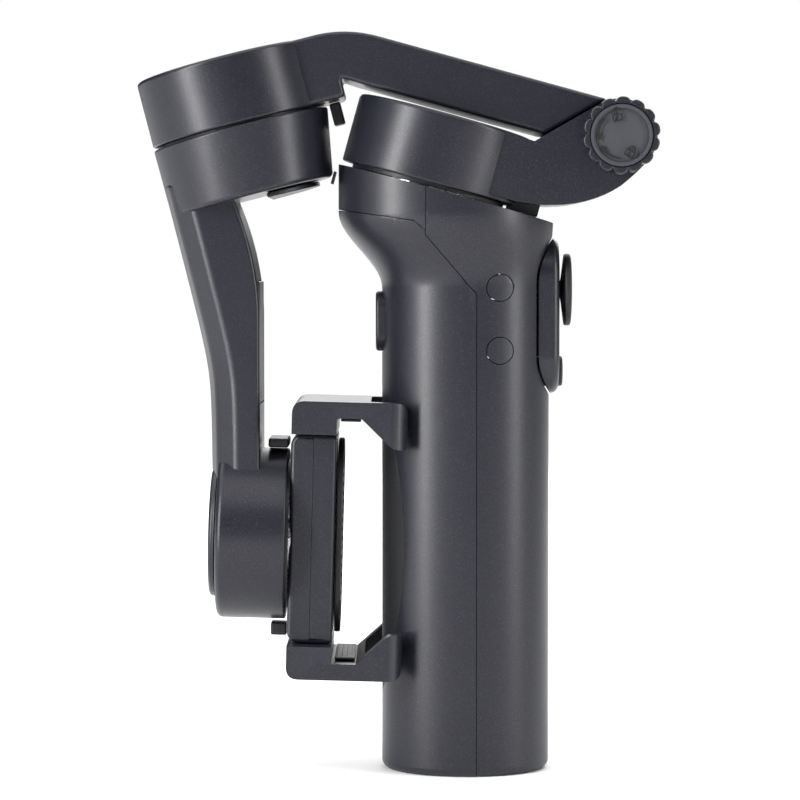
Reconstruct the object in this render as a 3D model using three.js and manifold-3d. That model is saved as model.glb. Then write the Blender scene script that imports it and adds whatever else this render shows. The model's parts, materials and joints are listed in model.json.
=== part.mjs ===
// A folding three-axis phone gimbal: handle, pan arm, folding upper arm, tilt arm and phone clamp.
// Millimetres, +Z up. The handle stands on its oval base with the origin at the base's centre,
// the control panel faces +X, and the folded arm and clamp lie on the -X side.
import * as THREE from "three";
import { mergeVertices } from "three/addons/utils/BufferGeometryUtils.js";
import Module from "manifold-3d";

const wasm = await Module();
wasm.setup();

// ---------------------------------------------------------------- driving dimensions
const GAP = 0.3; // clearance between neighbouring pieces
const DEG = Math.PI / 180;

const GRIP_RX = 20; // half the grip's width, front to back
const GRIP_RY = 17; // half the grip's thickness, side to side
const WALL = 2.2; // shell wall
const BASE_FILLET = 2; // rounding round the base
const NECK_START = 115.5; // height where the neck starts to flare
const NECK_END = 133.5; // height where the flare is full
const NECK_BACK = 10.4; // how far the flare reaches out at the back
const NECK_FRONT = 1; // and at the front
const NECK_SIDE = 4.2; // and to each side
const TOP = 152; // height past the sloping deck, before it is cut

const MOTOR_R = 21.35; // outer radius of the pan and tilt motor housings
const MOTOR_WALL = 2.4;
const PAN_AT = new THREE.Vector3(-9, 0, 140); // pan seam on the pan axis
const PAN_LEAN = 15.3 * DEG;
const PAN_CAP_H = 16.8;
const DECK_LEVEL = -0.9; // top of the deck, below the pan seam

const FOLD_U = 40.2; // fold axis in the pan frame, along the arm
const FOLD_W = 22.4; // fold axis in the pan frame, above the seam
const KNUCKLE_R = 8.9;
const TONGUE_R = 8;
const TONGUE_HALF = 9.5;
const CHEEK_IN = 9.9;
const CHEEK_OUT = 16;

const ARM_LOW = 18.5; // underside of the upper arm in the pan frame
const ARM_HIGH = 30.4; // and its top
const ARM_HALF = 12; // half the upper arm's width
const TILT_AT = new THREE.Vector3(-53.8, 0, 153.6); // tilt seam on the tilt axis
const TILT_LEAN = 14.5 * DEG;
const TILT_TOP = 16.3;
const TILT_LOW = 16.7;
const TILT_END_R = 19.97; // the tilt arm's motor housing tapers on the side away from the arm
const TILT_SKEW = (MOTOR_R - TILT_END_R) / TILT_LOW;

const ROLL_AT = new THREE.Vector3(-50, 0, 56.6); // a point on the roll axis
const ROLL_LEAN = 1.5 * DEG;
const ROLL_R = 20.5;
const ROLL_SEAM = 7.6; // roll seam along the axis
const ROLL_BACK = -9.2; // back of the roll housing
const TILT_ARM_HALF = 13;

const BAR_BACK = 8; // clamp bar along the roll axis
const BAR_SPLIT = 13.4;
const BAR_FRONT = 18.8;
const BAR_HALF = 24.7; // half the bar's height
const BAR_SIDE = 14; // half the bar's depth
const PAD_T = 1.4;
const JAW_SIDE = 18.5;
const JAW_NOTCH = 13.5; // half the notch that clears the grip
const JAW_NOTCH_FLOOR = 26.6; // how far in the notch goes, so an open jaw passes the trigger
const JAW_IN = 28.9; // inner face of the closed jaw, from the roll axis
const JAW_OUT = 32.8;
const JAW_REACH = 35.4;

const PINION_R = 4;
const PINION_TEETH = 10;
const TOOTH_H = 0.75;
const TOOTH_W = 0.8;
const ROUND = 36; // sides of a large round piece
const SMALL = 16; // sides of a small one

// ---------------------------------------------------------------- finishes
const finish = (color, roughness, metalness = 0) =>
  new THREE.MeshStandardMaterial({ color, roughness, metalness });
const BODY = finish(0x42444a, 0.45);
const DARK = finish(0x202226, 0.5);
const RUBBER = finish(0x2a2b2e, 0.85);
const STEEL = finish(0xb4b6ba, 0.3, 1);
const BRASS = finish(0xb58a45, 0.35, 1);
const COPPER = finish(0xa9683a, 0.4, 1);
const BOARD = finish(0x1f5a3a, 0.6);
const CELL = finish(0x35608f, 0.5);

// ---------------------------------------------------------------- solids
// Six times the volume inside the triangles: negative where they face inwards.
function enclosed(geometry, triangles) {
  const corners = triangles.map((i) => new THREE.Vector3().fromBufferAttribute(geometry.attributes.position, i));
  let total = 0;
  for (let i = 0; i < corners.length; i += 3) {
    total += corners[i].dot(corners[i + 1].clone().cross(corners[i + 2]));
  }
  return total;
}

// A closed geometry as a manifold solid, in its own local coordinates.
function solid(geometry) {
  const bare = geometry.index ? geometry.toNonIndexed() : geometry.clone();
  bare.deleteAttribute("normal");
  bare.deleteAttribute("uv");
  const merged = mergeVertices(bare, 1e-4);
  const index = merged.index.array;
  const kept = [];
  for (let i = 0; i < index.length; i += 3) {
    const [a, b, c] = [index[i], index[i + 1], index[i + 2]];
    if (a !== b && b !== c && c !== a) kept.push(a, b, c);
  }
  if (enclosed(merged, kept) < 0) kept.reverse();
  const data = new wasm.Mesh({
    numProp: 3,
    vertProperties: new Float32Array(merged.attributes.position.array),
    triVerts: new Uint32Array(kept),
  });
  return new wasm.Manifold(data);
}

function geometryOf(shape) {
  const data = shape.getMesh();
  const geometry = new THREE.BufferGeometry();
  geometry.setAttribute("position", new THREE.BufferAttribute(data.vertProperties, data.numProp));
  geometry.setIndex(new THREE.BufferAttribute(data.triVerts, 1));
  geometry.computeVertexNormals();
  return geometry;
}

const join = (first, ...rest) => rest.reduce((all, one) => all.add(one), first);
const cut = (first, ...rest) => rest.reduce((all, one) => all.subtract(one), first);

// Box between two corners.
function box(x0, x1, y0, y1, z0, z1) {
  const geometry = new THREE.BoxGeometry(x1 - x0, y1 - y0, z1 - z0);
  geometry.translate((x0 + x1) / 2, (y0 + y1) / 2, (z0 + z1) / 2);
  return solid(geometry);
}

// Solid of revolution about Z from [radius, height] points; the outline closes on itself.
function turned(points, sides = ROUND) {
  const outline = points.map(([r, z]) => new THREE.Vector2(r, z));
  const geometry = new THREE.LatheGeometry(outline, sides);
  geometry.rotateX(Math.PI / 2);
  return solid(geometry);
}

// Full cylinder about Z.
const rod = (r, z0, z1, sides = ROUND) => turned([[0, z0], [r, z0], [r, z1], [0, z1]], sides);

// Ring about Z.
const ring = (inner, outer, z0, z1, sides = ROUND) =>
  turned([[inner, z0], [outer, z0], [outer, z1], [inner, z1], [inner, z0]], sides);

// Rod about Z with both rims chamfered.
const softRod = (r, z0, z1, c, sides = ROUND) =>
  turned([[0, z0], [r - c, z0], [r, z0 + c], [r, z1 - c], [r - c, z1], [0, z1]], sides);

function shapeOf(points) {
  return new THREE.Shape(points.map(([a, b]) => new THREE.Vector2(a, b)));
}

// Outline in the XZ plane, extruded from y0 to y1.
function slab(outline, y0, y1, curveSegments = SMALL) {
  const shape = Array.isArray(outline) ? shapeOf(outline) : outline;
  const geometry = new THREE.ExtrudeGeometry(shape, { depth: y1 - y0, bevelEnabled: false, curveSegments });
  geometry.rotateX(Math.PI / 2);
  geometry.translate(0, y1, 0);
  return solid(geometry);
}

// Outline in the YZ plane, extruded from x0 to x1.
function plate(outline, x0, x1, curveSegments = SMALL) {
  const shape = Array.isArray(outline) ? shapeOf(outline) : outline;
  const geometry = new THREE.ExtrudeGeometry(shape, { depth: x1 - x0, bevelEnabled: false, curveSegments });
  geometry.rotateY(Math.PI / 2);
  geometry.rotateX(Math.PI / 2);
  geometry.translate(x0, 0, 0);
  return solid(geometry);
}

function moved(shape, matrix) {
  const geometry = geometryOf(shape);
  geometry.applyMatrix4(matrix);
  return solid(geometry);
}

// Turns a shape made about Z so that it lies about Y or about X.
const TO_Y = new THREE.Matrix4().makeRotationX(-Math.PI / 2);
const TO_X = new THREE.Matrix4().makeRotationY(Math.PI / 2);
const aboutY = (shape) => moved(shape, TO_Y);
const aboutX = (shape) => moved(shape, TO_X);
const at = (shape, x, y, z) => moved(shape, new THREE.Matrix4().makeTranslation(x, y, z));

// Stadium outline: a rectangle with round ends, long along the second axis.
function stadium(half, long, centre = 0) {
  const straight = long - half;
  const shape = new THREE.Shape();
  shape.absarc(0, centre + straight, half, 0, Math.PI, false);
  shape.absarc(0, centre - straight, half, Math.PI, 2 * Math.PI, false);
  return shape;
}

// ---------------------------------------------------------------- frames
const gimbal = new THREE.Group();
const panFrame = new THREE.Group();
panFrame.position.copy(PAN_AT);
panFrame.rotation.y = PAN_LEAN;
const tiltFrame = new THREE.Group();
tiltFrame.position.copy(TILT_AT);
tiltFrame.rotation.y = -TILT_LEAN;
const rollFrame = new THREE.Group();
rollFrame.position.copy(ROLL_AT);
rollFrame.rotation.y = ROLL_LEAN;
gimbal.add(panFrame, tiltFrame, rollFrame);
for (const frame of [panFrame, tiltFrame, rollFrame]) frame.updateMatrix();

const inFrame = (shape, frame) => moved(shape, frame.matrix);
const outOf = (shape, frame) => moved(shape, frame.matrix.clone().invert());

function add(name, shape, material, frame = gimbal) {
  const mesh = new THREE.Mesh(geometryOf(shape), material);
  mesh.name = name;
  frame.add(mesh);
  return mesh;
}

// A point given in a leaning frame's own (along, up) pair, as [x, z] of the whole object.
function pointIn(frame, along, up) {
  const point = new THREE.Vector3(along, 0, up).applyMatrix4(frame.matrix);
  return [point.x, point.z];
}

// ---------------------------------------------------------------- handle shells
// Share of the neck's flare that is reached at a height.
function flare(z) {
  const t = THREE.MathUtils.clamp((z - NECK_START) / (NECK_END - NECK_START), 0, 1);
  return t * t * (3 - 2 * t);
}

// The grip and neck as one solid: oval sections whose back, front and sides grow in the neck.
// grow offsets the surface outwards, and the base is drawn in by fillet.
function gripSolid(grow, low, high, fillet, sides = ROUND) {
  const neck = 6;
  const levels = [low, low + 0.3 * BASE_FILLET, low + BASE_FILLET, NECK_START / 2];
  for (let i = 0; i <= neck; i += 1) levels.push(NECK_START + ((NECK_END - NECK_START) * i) / neck);
  levels.push(high);
  const drawnIn = [fillet, 0.3 * fillet, 0];
  const geometry = new THREE.CylinderGeometry(1, 1, levels.length - 1, sides, levels.length - 1);
  geometry.rotateX(Math.PI / 2);
  const place = geometry.attributes.position;
  for (let i = 0; i < place.count; i += 1) {
    const level = Math.round(place.getZ(i) + (levels.length - 1) / 2);
    const z = levels[level];
    const part = flare(z);
    const back = GRIP_RX + NECK_BACK * part + grow - (drawnIn[level] ?? 0);
    const front = GRIP_RX + NECK_FRONT * part + grow - (drawnIn[level] ?? 0);
    const side = GRIP_RY + NECK_SIDE * part + grow - (drawnIn[level] ?? 0);
    const x = place.getX(i) * ((back + front) / 2) + (front - back) / 2;
    place.setXYZ(i, x, place.getY(i) * side, z);
  }
  return solid(geometry);
}

const FAR = 60; // past everything, for cutting regions
const SEAM_X = 2.3; // straight seam between the front and rear shells
const SEAM_TURN = 114; // where the seam leaves the vertical
const COLLAR_X = -9.7; // vertical seam beside the collar
const COLLAR_LOW = 127.9;
const COLLAR_CORNER = [-12.4, 131.2];
const COLLAR_BACK = 138.4; // height of the collar's lower seam, carried out to FAR behind

const belowDeck = inFrame(box(-FAR * 3, FAR * 3, -FAR, FAR, -FAR * 3, DECK_LEVEL), panFrame);

// Region of one shell in side view, drawn across the whole depth.
const region = (outline) => slab(outline, -FAR, FAR);
const half = GAP / 2;
const frontRegion = region([
  [SEAM_X + half, -1], [FAR, -1], [FAR, TOP + 1], [COLLAR_X + half, TOP + 1],
  [COLLAR_X + half, COLLAR_LOW], [SEAM_X + half, SEAM_TURN],
]);
const rearRegion = region([
  [-FAR, -1], [SEAM_X - half, -1], [SEAM_X - half, SEAM_TURN - half], [COLLAR_X - half, COLLAR_LOW - half],
  [COLLAR_X - half, COLLAR_LOW + 1], COLLAR_CORNER, [-FAR, COLLAR_BACK],
]);
const collarRegion = region([
  [COLLAR_X - half, COLLAR_LOW + 1 + GAP], [COLLAR_X - half, TOP + 1], [-FAR, TOP + 1],
  [-FAR, COLLAR_BACK + GAP], [COLLAR_CORNER[0], COLLAR_CORNER[1] + GAP],
]);

const BASE_INSET = 3.4; // base plate's recess inside the grip's outline
const FLOOR_T = 5; // height of that recess
const layer = (z0, z1) => box(-FAR, FAR, -FAR, FAR, z0, z1);
const gripOuter = gripSolid(0, 0, TOP, BASE_FILLET).intersect(belowDeck);
const gripCavity = gripSolid(-WALL, FLOOR_T, TOP + 1, 0);
const gripMouth = gripSolid(-BASE_INSET, -1, TOP, 0).intersect(layer(-2, FLOOR_T + 1));
const shell = cut(gripOuter, gripCavity, gripMouth);

// Rod lying along X at a place on the front or back of the grip.
const rodX = (r, x0, x1, y, z, sides = SMALL) => at(aboutX(rod(r, x0, x1, sides)), 0, y, z);
const rodY = (r, y0, y1, x, z, sides = SMALL) => at(aboutY(rod(r, y0, y1, sides)), x, 0, z);

// ---------------------------------------------------------------- controls on the handle
const PANEL_FACE = 22.2; // outer face of the control panel
const PANEL_HALF = 9.2;
const PANEL_LOW = 90.2;
const PANEL_HIGH = 127.4;
const STICK_Z = 115;
const STICK_R = 8.6;
const STICK_PIVOT = 16;
const STICK_HOLE = 5.2;
const BUTTON_Z = 95.5;
const BUTTON_R = 3.6;
const TRIGGER_Z = 107.5;
const TRIGGER_HALF = 7.2; // half its height
const TRIGGER_SIDE = 4.2; // half its width
const TRIGGER_FACE = -21.5;
const PLUG_R = 3.1;
const PLUG_X = 7.8;
const PLUG_HEIGHTS = [100.8, 115.6];
const PLUG_INNER = 13.2; // inner end of a plug, from the middle plane

const stickHole = rodX(STICK_HOLE, 0, FAR, 0, STICK_Z);
const buttonHole = rodX(BUTTON_R + GAP, 0, FAR, 0, BUTTON_Z);

function triggerBlock(grow, x0, x1) {
  const outline = stadium(TRIGGER_SIDE + grow, TRIGGER_HALF + grow, TRIGGER_Z);
  return plate(outline, x0, x1, 8);
}

function plugHoles() {
  return PLUG_HEIGHTS.map((z) => rodY(PLUG_R + GAP, -FAR, FAR, PLUG_X, z));
}

const PAD_LOW = 18.7; // ends of the oval finger pad on the grip's back
const PAD_HIGH = 90.7;
const PAD_HALF = 11.3;
const PAD_DEPTH = 1.2;

function padOutline(grow) {
  const shape = new THREE.Shape();
  const middle = (PAD_LOW + PAD_HIGH) / 2;
  const long = (PAD_HIGH - PAD_LOW) / 2;
  shape.absellipse(0, middle, PAD_HALF + grow, long + grow, 0, 2 * Math.PI, false);
  return shape;
}

function addShells() {
  const pocket = plate(padOutline(GAP), -FAR, 0).subtract(gripSolid(-PAD_DEPTH - GAP / 2, -1, TOP, 0));
  add("front_shell", cut(shell.intersect(frontRegion), stickHole, buttonHole, ...plugHoles()), BODY);
  add("rear_shell", cut(shell.intersect(rearRegion), triggerBlock(GAP, -FAR, 0), pocket), BODY);
  add("rear_collar", shell.intersect(collarRegion), BODY);
  const pad = plate(padOutline(0), -FAR, 0).intersect(gripSolid(0, 0, TOP, 0));
  add("rear_grip_pad", pad.subtract(gripSolid(GAP / 2 - PAD_DEPTH, -1, TOP, 0)), RUBBER);
}

function addPlugs() {
  for (const z of PLUG_HEIGHTS) {
    for (const [side, name] of [[-1, "near"], [1, "far"]]) {
      const through = rodY(PLUG_R, PLUG_INNER, FAR, PLUG_X, z).intersect(gripOuter);
      const facing = new THREE.Matrix4().makeScale(1, side, 1);
      const place = z === PLUG_HEIGHTS[0] ? "lower" : "upper";
      add(`screw_plug_${place}_${name}`, moved(through, facing), BODY);
    }
  }
}

function addPanel() {
  const middle = (PANEL_LOW + PANEL_HIGH) / 2;
  const outline = stadium(PANEL_HALF, (PANEL_HIGH - PANEL_LOW) / 2, middle);
  const raised = plate(outline, 0, PANEL_FACE).subtract(gripSolid(GAP, -1, TOP, 0));
  add("control_panel", cut(raised, stickHole, buttonHole), DARK);
}

function addJoystick() {
  const housing = cut(rod(6.6, 11.5, 15.2, SMALL), rod(4.4, 12.6, 16, SMALL));
  add("joystick_housing", at(aboutX(housing), 0, 0, STICK_Z), DARK);
  const yoke = ring(2.6, 3.8, STICK_PIVOT - 0.6, STICK_PIVOT + 0.6, SMALL);
  add("joystick_yoke", at(aboutX(yoke), 0, 0, STICK_Z), STEEL);
  const cap = turned([
    [0, 14.4], [2, 14.4], [2, 22.6], [3, 22.8], [STICK_R, 23.6], [STICK_R, 24.7],
    [STICK_R - 0.5, 25.1], [6.6, 25.1], [4, 24.5], [0, 24.3],
  ], SMALL * 1.5);
  add("joystick_cap", at(aboutX(cap), 0, 0, STICK_Z), RUBBER);
}

function addButtons() {
  const button = join(softRod(BUTTON_R, 16.4, 23.2, 0.4, SMALL), rod(BUTTON_R + 1, 15.6, 16.6, SMALL));
  add("record_button", at(aboutX(button), 0, 0, BUTTON_Z), RUBBER);
  const flange = triggerBlock(1.3, -15.9, -14.9);
  add("trigger", join(triggerBlock(0, TRIGGER_FACE, -15.4), flange), DARK);
}

// ---------------------------------------------------------------- inside the handle
const CELL_R = 9;
const CELL_X = 1.5;
const CELL_LOW = 13;
const CELL_HIGH = 78;
const SOCKET_X = 7;
const SOCKET_R = 3.175; // a quarter-inch tripod thread's hole
const INSERT_R = 5;
const PORT_X = -9;

function addBase() {
  const disc = gripSolid(-BASE_INSET - GAP, 0, TOP, 0).intersect(layer(-1, FLOOR_T - 1));
  const boss = at(rod(INSERT_R + 2, 1, 10, SMALL), SOCKET_X, 0, 0);
  const well = at(rod(INSERT_R + GAP, -1, 9.2, SMALL), SOCKET_X, 0, 0);
  const slot = box(PORT_X - 1.9, PORT_X + 1.9, -4.8, 4.8, -1, FLOOR_T);
  add("base_plate", cut(disc.add(boss), well, slot), DARK);
  const insert = turned([
    [SOCKET_R, 0.2], [INSERT_R, 0.2], [INSERT_R, 8.8], [0, 8.8], [0, 7.8], [SOCKET_R, 7.8], [SOCKET_R, 0.2],
  ], SMALL);
  add("tripod_insert", at(insert, SOCKET_X, 0, 0), BRASS);
  const port = box(PORT_X - 1.6, PORT_X + 1.6, -4.5, 4.5, 0.4, 7);
  add("charging_port", port.subtract(box(PORT_X - 1.25, PORT_X + 1.25, -4.15, 4.15, -1, 5.8)), STEEL);
}

function addInsides() {
  const cell = softRod(CELL_R, CELL_LOW, CELL_HIGH, 0.6, 32);
  add("battery_cell", at(cell, CELL_X, 0, 0), CELL);
  const sleeve = ring(CELL_R + GAP, CELL_R + 1.6, CELL_LOW - 1.6, CELL_HIGH + 1, 32);
  const saddle = sleeve.intersect(box(-FAR, 1, -FAR, FAR, 0, FAR * 2));
  const floor = rod(CELL_R + 1.6, CELL_LOW - 1.6, CELL_LOW - GAP, 32);
  add("battery_cradle", at(saddle.add(floor), CELL_X, 0, 0), DARK);
  add("main_board", box(-12.6, -11.2, -8.4, 8.4, 14, 94), BOARD);
  add("control_board", box(8.6, 10, -9, 9, 88, 121), BOARD);
}

// ---------------------------------------------------------------- motors
const BELL_R = 13.5;
const SHAFT_R = 2.5;

// One gimbal motor about its frame's Z, which points from the fixed side to the moving side; the
// seam between the two is at seam. The stator and bearing stay, and the bell and shaft turn.
function addMotor(name, frame, seam, turn = new THREE.Matrix4(), shaftEnd = 7) {
  const put = (part, shape, material) => {
    const placed = moved(shape, new THREE.Matrix4().makeTranslation(0, 0, seam));
    add(`${name}_${part}`, moved(placed, turn), material, frame);
  };
  put("stator", ring(5.6, 10.4, -8.2, -2.4), COPPER);
  put("bearing", ring(SHAFT_R + GAP, 5.2, -8, -3.6, SMALL), STEEL);
  const bell = turned([
    [SHAFT_R + GAP, -1.9], [11, -1.9], [11, -8.4], [BELL_R, -8.4], [BELL_R, 1.1], [SHAFT_R + GAP, 1.1],
    [SHAFT_R + GAP, -1.9],
  ]);
  put("rotor", bell, STEEL);
  put("shaft", rod(SHAFT_R, -8.8, shaftEnd, SMALL), STEEL);
}

// Housing cup about Z: open at z 0, closed at height, with a hub round the axis. The side may taper.
function cupHollow(height, radius, end = radius) {
  const floor = height - MOTOR_WALL;
  return turned([[0, -1], [radius - MOTOR_WALL, -1], [end - MOTOR_WALL, floor], [0, floor]]);
}

function cup(height, radius, hub, hubLow, end = radius) {
  const edge = 0.8;
  const outer = turned([
    [0, GAP], [radius - 0.4, GAP], [radius, GAP + 0.4], [end, height - edge], [end - edge, height], [0, height],
  ]);
  return join(outer.subtract(cupHollow(height, radius, end)), rod(hub, hubLow, height - 1, SMALL));
}

// ---------------------------------------------------------------- pan motor deck and pan arm
const CUP_IN = BELL_R + 0.8;
const CUP_OUT = CUP_IN + 1.4;

function addDeck() {
  const outline = outOf(gripSolid(-WALL - GAP, FLOOR_T, TOP + 1, 0), panFrame);
  const ledge = outline.intersect(box(-FAR, FAR, -FAR, FAR, DECK_LEVEL - 3, DECK_LEVEL));
  const bowl = cut(rod(CUP_OUT, -10.6, DECK_LEVEL), rod(CUP_IN, -9.2, 1));
  add("motor_deck", join(ledge.subtract(rod(CUP_IN, -20, 1)), bowl), DARK, panFrame);
  add("pan_stop", box(-22.5, -21.9, -3.2, 3.2, -5.8, -2.8), DARK, panFrame);
}

const CAP_TO_ARM = 14; // where the cap's round side meets the arm's flat side
const FOLD_AT = [FOLD_U, FOLD_W];

// The pan arm in side view: from inside the cap, along the bottom, and round the knuckle.
function panArmOutline() {
  const shape = new THREE.Shape();
  const start = Math.PI * 0.75;
  const reach = KNUCKLE_R * Math.SQRT1_2;
  shape.moveTo(CAP_TO_ARM - 6, 1.4);
  shape.lineTo(21, 1.4);
  shape.quadraticCurveTo(36, 2.6, 43.6, 11.4);
  shape.quadraticCurveTo(FOLD_U + KNUCKLE_R, 19, FOLD_U + KNUCKLE_R, FOLD_W);
  shape.absarc(FOLD_U, FOLD_W, KNUCKLE_R, 0, start, false);
  shape.lineTo(FOLD_U - reach - 12.6, FOLD_W + reach - 12.6);
  shape.lineTo(CAP_TO_ARM - 6, PAN_CAP_H);
  return shape;
}

function addPanArm() {
  const tongueRoom = join(
    rodY(TONGUE_R + 0.8, -CHEEK_IN, CHEEK_IN, ...FOLD_AT, ROUND),
    box(8, FOLD_U, -CHEEK_IN, CHEEK_IN, ARM_LOW - 0.5, FAR),
    box(FOLD_U, FOLD_U + 20, -CHEEK_IN, CHEEK_IN, FOLD_W - TONGUE_R - 0.8, FAR),
  );
  const armRoom = box(-FAR, 20.4, -FAR, FAR, ARM_LOW - 0.5, FAR);
  const lightened = box(17, 30, -11, 11, 4.2, 13);
  const arm = slab(panArmOutline(), -CHEEK_OUT, CHEEK_OUT);
  const hollow = cupHollow(PAN_CAP_H, MOTOR_R);
  const shaped = cut(arm, tongueRoom, armRoom, hollow, rodY(3 + GAP, -FAR, FAR, ...FOLD_AT));
  const seat = ring(SHAFT_R + GAP, 6.5, 1.5, PAN_CAP_H - 1, SMALL);
  const limitBlock = box(19.5, 27, -5, 5, -0.5, 3);
  const body = join(cut(cup(PAN_CAP_H, MOTOR_R, 6.5, 1.5), rod(SHAFT_R + GAP, -1, 7.4, SMALL)), shaped, seat);
  add("pan_arm", cut(body.add(limitBlock), lightened), BODY, panFrame);
}

// ---------------------------------------------------------------- fold joint and lock knob
const KNOB_R = 8.95;
const KNOB_IN = -16.4;
const KNOB_OUT = -23.6;
const KNOB_LOBES = 14;

function knobOutline() {
  const shape = new THREE.Shape();
  const steps = KNOB_LOBES * 6;
  for (let i = 0; i < steps; i += 1) {
    const angle = (2 * Math.PI * i) / steps;
    const lobe = Math.abs(Math.cos((KNOB_LOBES * angle) / 2));
    const r = KNOB_R - 0.9 * (1 - lobe) ** 2;
    if (i === 0) shape.moveTo(FOLD_U + r, FOLD_W);
    else shape.lineTo(FOLD_U + r * Math.cos(angle), FOLD_W + r * Math.sin(angle));
  }
  return shape;
}

function addFoldJoint() {
  const bolt = join(rodY(3, -20, 16.8, ...FOLD_AT), rodY(6.5, 16.4, 19, ...FOLD_AT));
  add("fold_bolt", bolt, STEEL, panFrame);
  const knob = slab(knobOutline(), KNOB_OUT, KNOB_IN);
  const bore = rodY(3 + GAP, -20.4, FAR, ...FOLD_AT);
  const recess = rodY(7.5, -FAR, KNOB_OUT + 1.1, ...FOLD_AT);
  add("lock_knob", cut(knob, bore, recess), DARK, panFrame);
  add("knob_cap", rodY(7.2, KNOB_OUT + 0.2, KNOB_OUT + 0.8, ...FOLD_AT, 36), BODY, panFrame);
}

// ---------------------------------------------------------------- folding upper arm
const ELBOW_TILT = 22; // where the elbow's curve starts, in the tilt frame
const ELBOW_PAN = -20.6; // and where it ends, in the pan frame
const BOSS_U = 26.2; // outer side of the stop boss, in the tilt frame
const COVER_U0 = -18;
const COVER_U1 = 26;
const COVER_HALF = 9;
const COVER_T = 1;
const HUB_R = 10;
const HUB_LOW = 8.6;

function armBarOutline() {
  const shape = new THREE.Shape();
  const drop = FOLD_W - ARM_LOW;
  const end = -Math.PI + Math.asin(drop / TONGUE_R);
  shape.moveTo(ELBOW_PAN - 1, ARM_LOW);
  shape.lineTo(FOLD_U + TONGUE_R * Math.cos(end), ARM_LOW);
  shape.absarc(FOLD_U, FOLD_W, TONGUE_R, end, Math.PI / 2, false);
  shape.lineTo(ELBOW_PAN - 1, ARM_HIGH);
  return shape;
}

function elbowOutline() {
  const shape = new THREE.Shape();
  const panAxisUp = new THREE.Vector2(Math.sin(PAN_LEAN), Math.cos(PAN_LEAN));
  const turn = (PAN_LEAN + TILT_LEAN) / 2;
  const [ax, az] = pointIn(tiltFrame, ELBOW_TILT, TILT_TOP);
  const [bx, bz] = pointIn(panFrame, ELBOW_PAN, ARM_HIGH);
  const reach = Math.hypot(bx - ax, bz - az) / 2 / Math.cos(turn);
  const corner = [bx - reach * panAxisUp.y, bz + reach * panAxisUp.x];
  shape.moveTo(...pointIn(tiltFrame, 0, TILT_TOP));
  shape.lineTo(ax, az);
  shape.quadraticCurveTo(...corner, bx, bz);
  shape.lineTo(...pointIn(panFrame, ELBOW_PAN, ARM_LOW));
  shape.lineTo(...pointIn(panFrame, ELBOW_PAN - 1.6, ARM_LOW));
  shape.lineTo(...pointIn(tiltFrame, BOSS_U, 5));
  shape.lineTo(...pointIn(tiltFrame, BOSS_U, 0.4));
  shape.lineTo(...pointIn(tiltFrame, 0, 0.4));
  return shape;
}

function addUpperArm() {
  const bar = slab(armBarOutline(), -ARM_HALF, ARM_HALF);
  const beside = box(19, FAR, TONGUE_HALF, FAR, 0, FAR);
  const otherSide = moved(beside, new THREE.Matrix4().makeScale(1, -1, 1));
  const pocket = box(COVER_U0 - GAP, COVER_U1 + GAP, -COVER_HALF - GAP, COVER_HALF + GAP, ARM_HIGH - COVER_T - GAP, FAR);
  const channel = box(COVER_U0 + 2, COVER_U1 - 4, -6, 6, ARM_LOW + 2.4, FAR);
  const bore = rodY(3 + GAP, -FAR, FAR, ...FOLD_AT);
  const straight = inFrame(cut(bar, beside, otherSide, pocket, channel, bore), panFrame);
  const elbow = slab(elbowOutline(), -ARM_HALF, ARM_HALF).subtract(inFrame(pocket, panFrame));
  const hollow = cupHollow(TILT_TOP, MOTOR_R);
  const hub = cut(rod(HUB_R, HUB_LOW, TILT_TOP - 1, 36), rod(SHAFT_R + 0.6, 0, HUB_LOW + 1.2, SMALL));
  const disc = cup(TILT_TOP, MOTOR_R, HUB_R, HUB_LOW);
  const capped = cut(disc.add(outOf(elbow, tiltFrame)), hollow).add(hub);
  add("upper_arm", inFrame(capped, tiltFrame).add(straight), BODY);
  const cover = box(COVER_U0, COVER_U1, -COVER_HALF, COVER_HALF, ARM_HIGH - COVER_T, ARM_HIGH);
  add("arm_cover", cover, BODY, panFrame);
  add("tilt_stop", box(21.9, 24.6, -3, 3, -5.3, 0.1), DARK, tiltFrame);
}

// ---------------------------------------------------------------- tilt arm
const FLIP = new THREE.Matrix4().makeRotationX(Math.PI);
const ARM_OUTER = -60.4; // outer face of the arm's vertical stretch
const ARM_INNER = -48.8; // and its inner face
const COVER_LOW = 88;
const COVER_HIGH = 117;

const ARM_FOOT = 66; // lower end of the arm, inside the roll housing
const ARM_HEAD = 140; // upper end, inside the tilt housing
const ARM_BEND = 108; // where the inner face starts to lean

// Outer face of the arm at a height: it runs on from the tilt housing's side, then turns upright.
function armOuter(z) {
  const [x0, z0] = pointIn(tiltFrame, 0.4 - MOTOR_R, -TILT_LOW);
  const past = ARM_OUTER - (x0 + (z0 - z) * Math.tan(TILT_LEAN));
  return ARM_OUTER - (past + Math.hypot(past, 2)) / 2;
}

function armInner(z) {
  const lean = Math.max(0, (z - ARM_BEND) / 23.5);
  return ARM_INNER - 4.1 * lean * lean;
}

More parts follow.
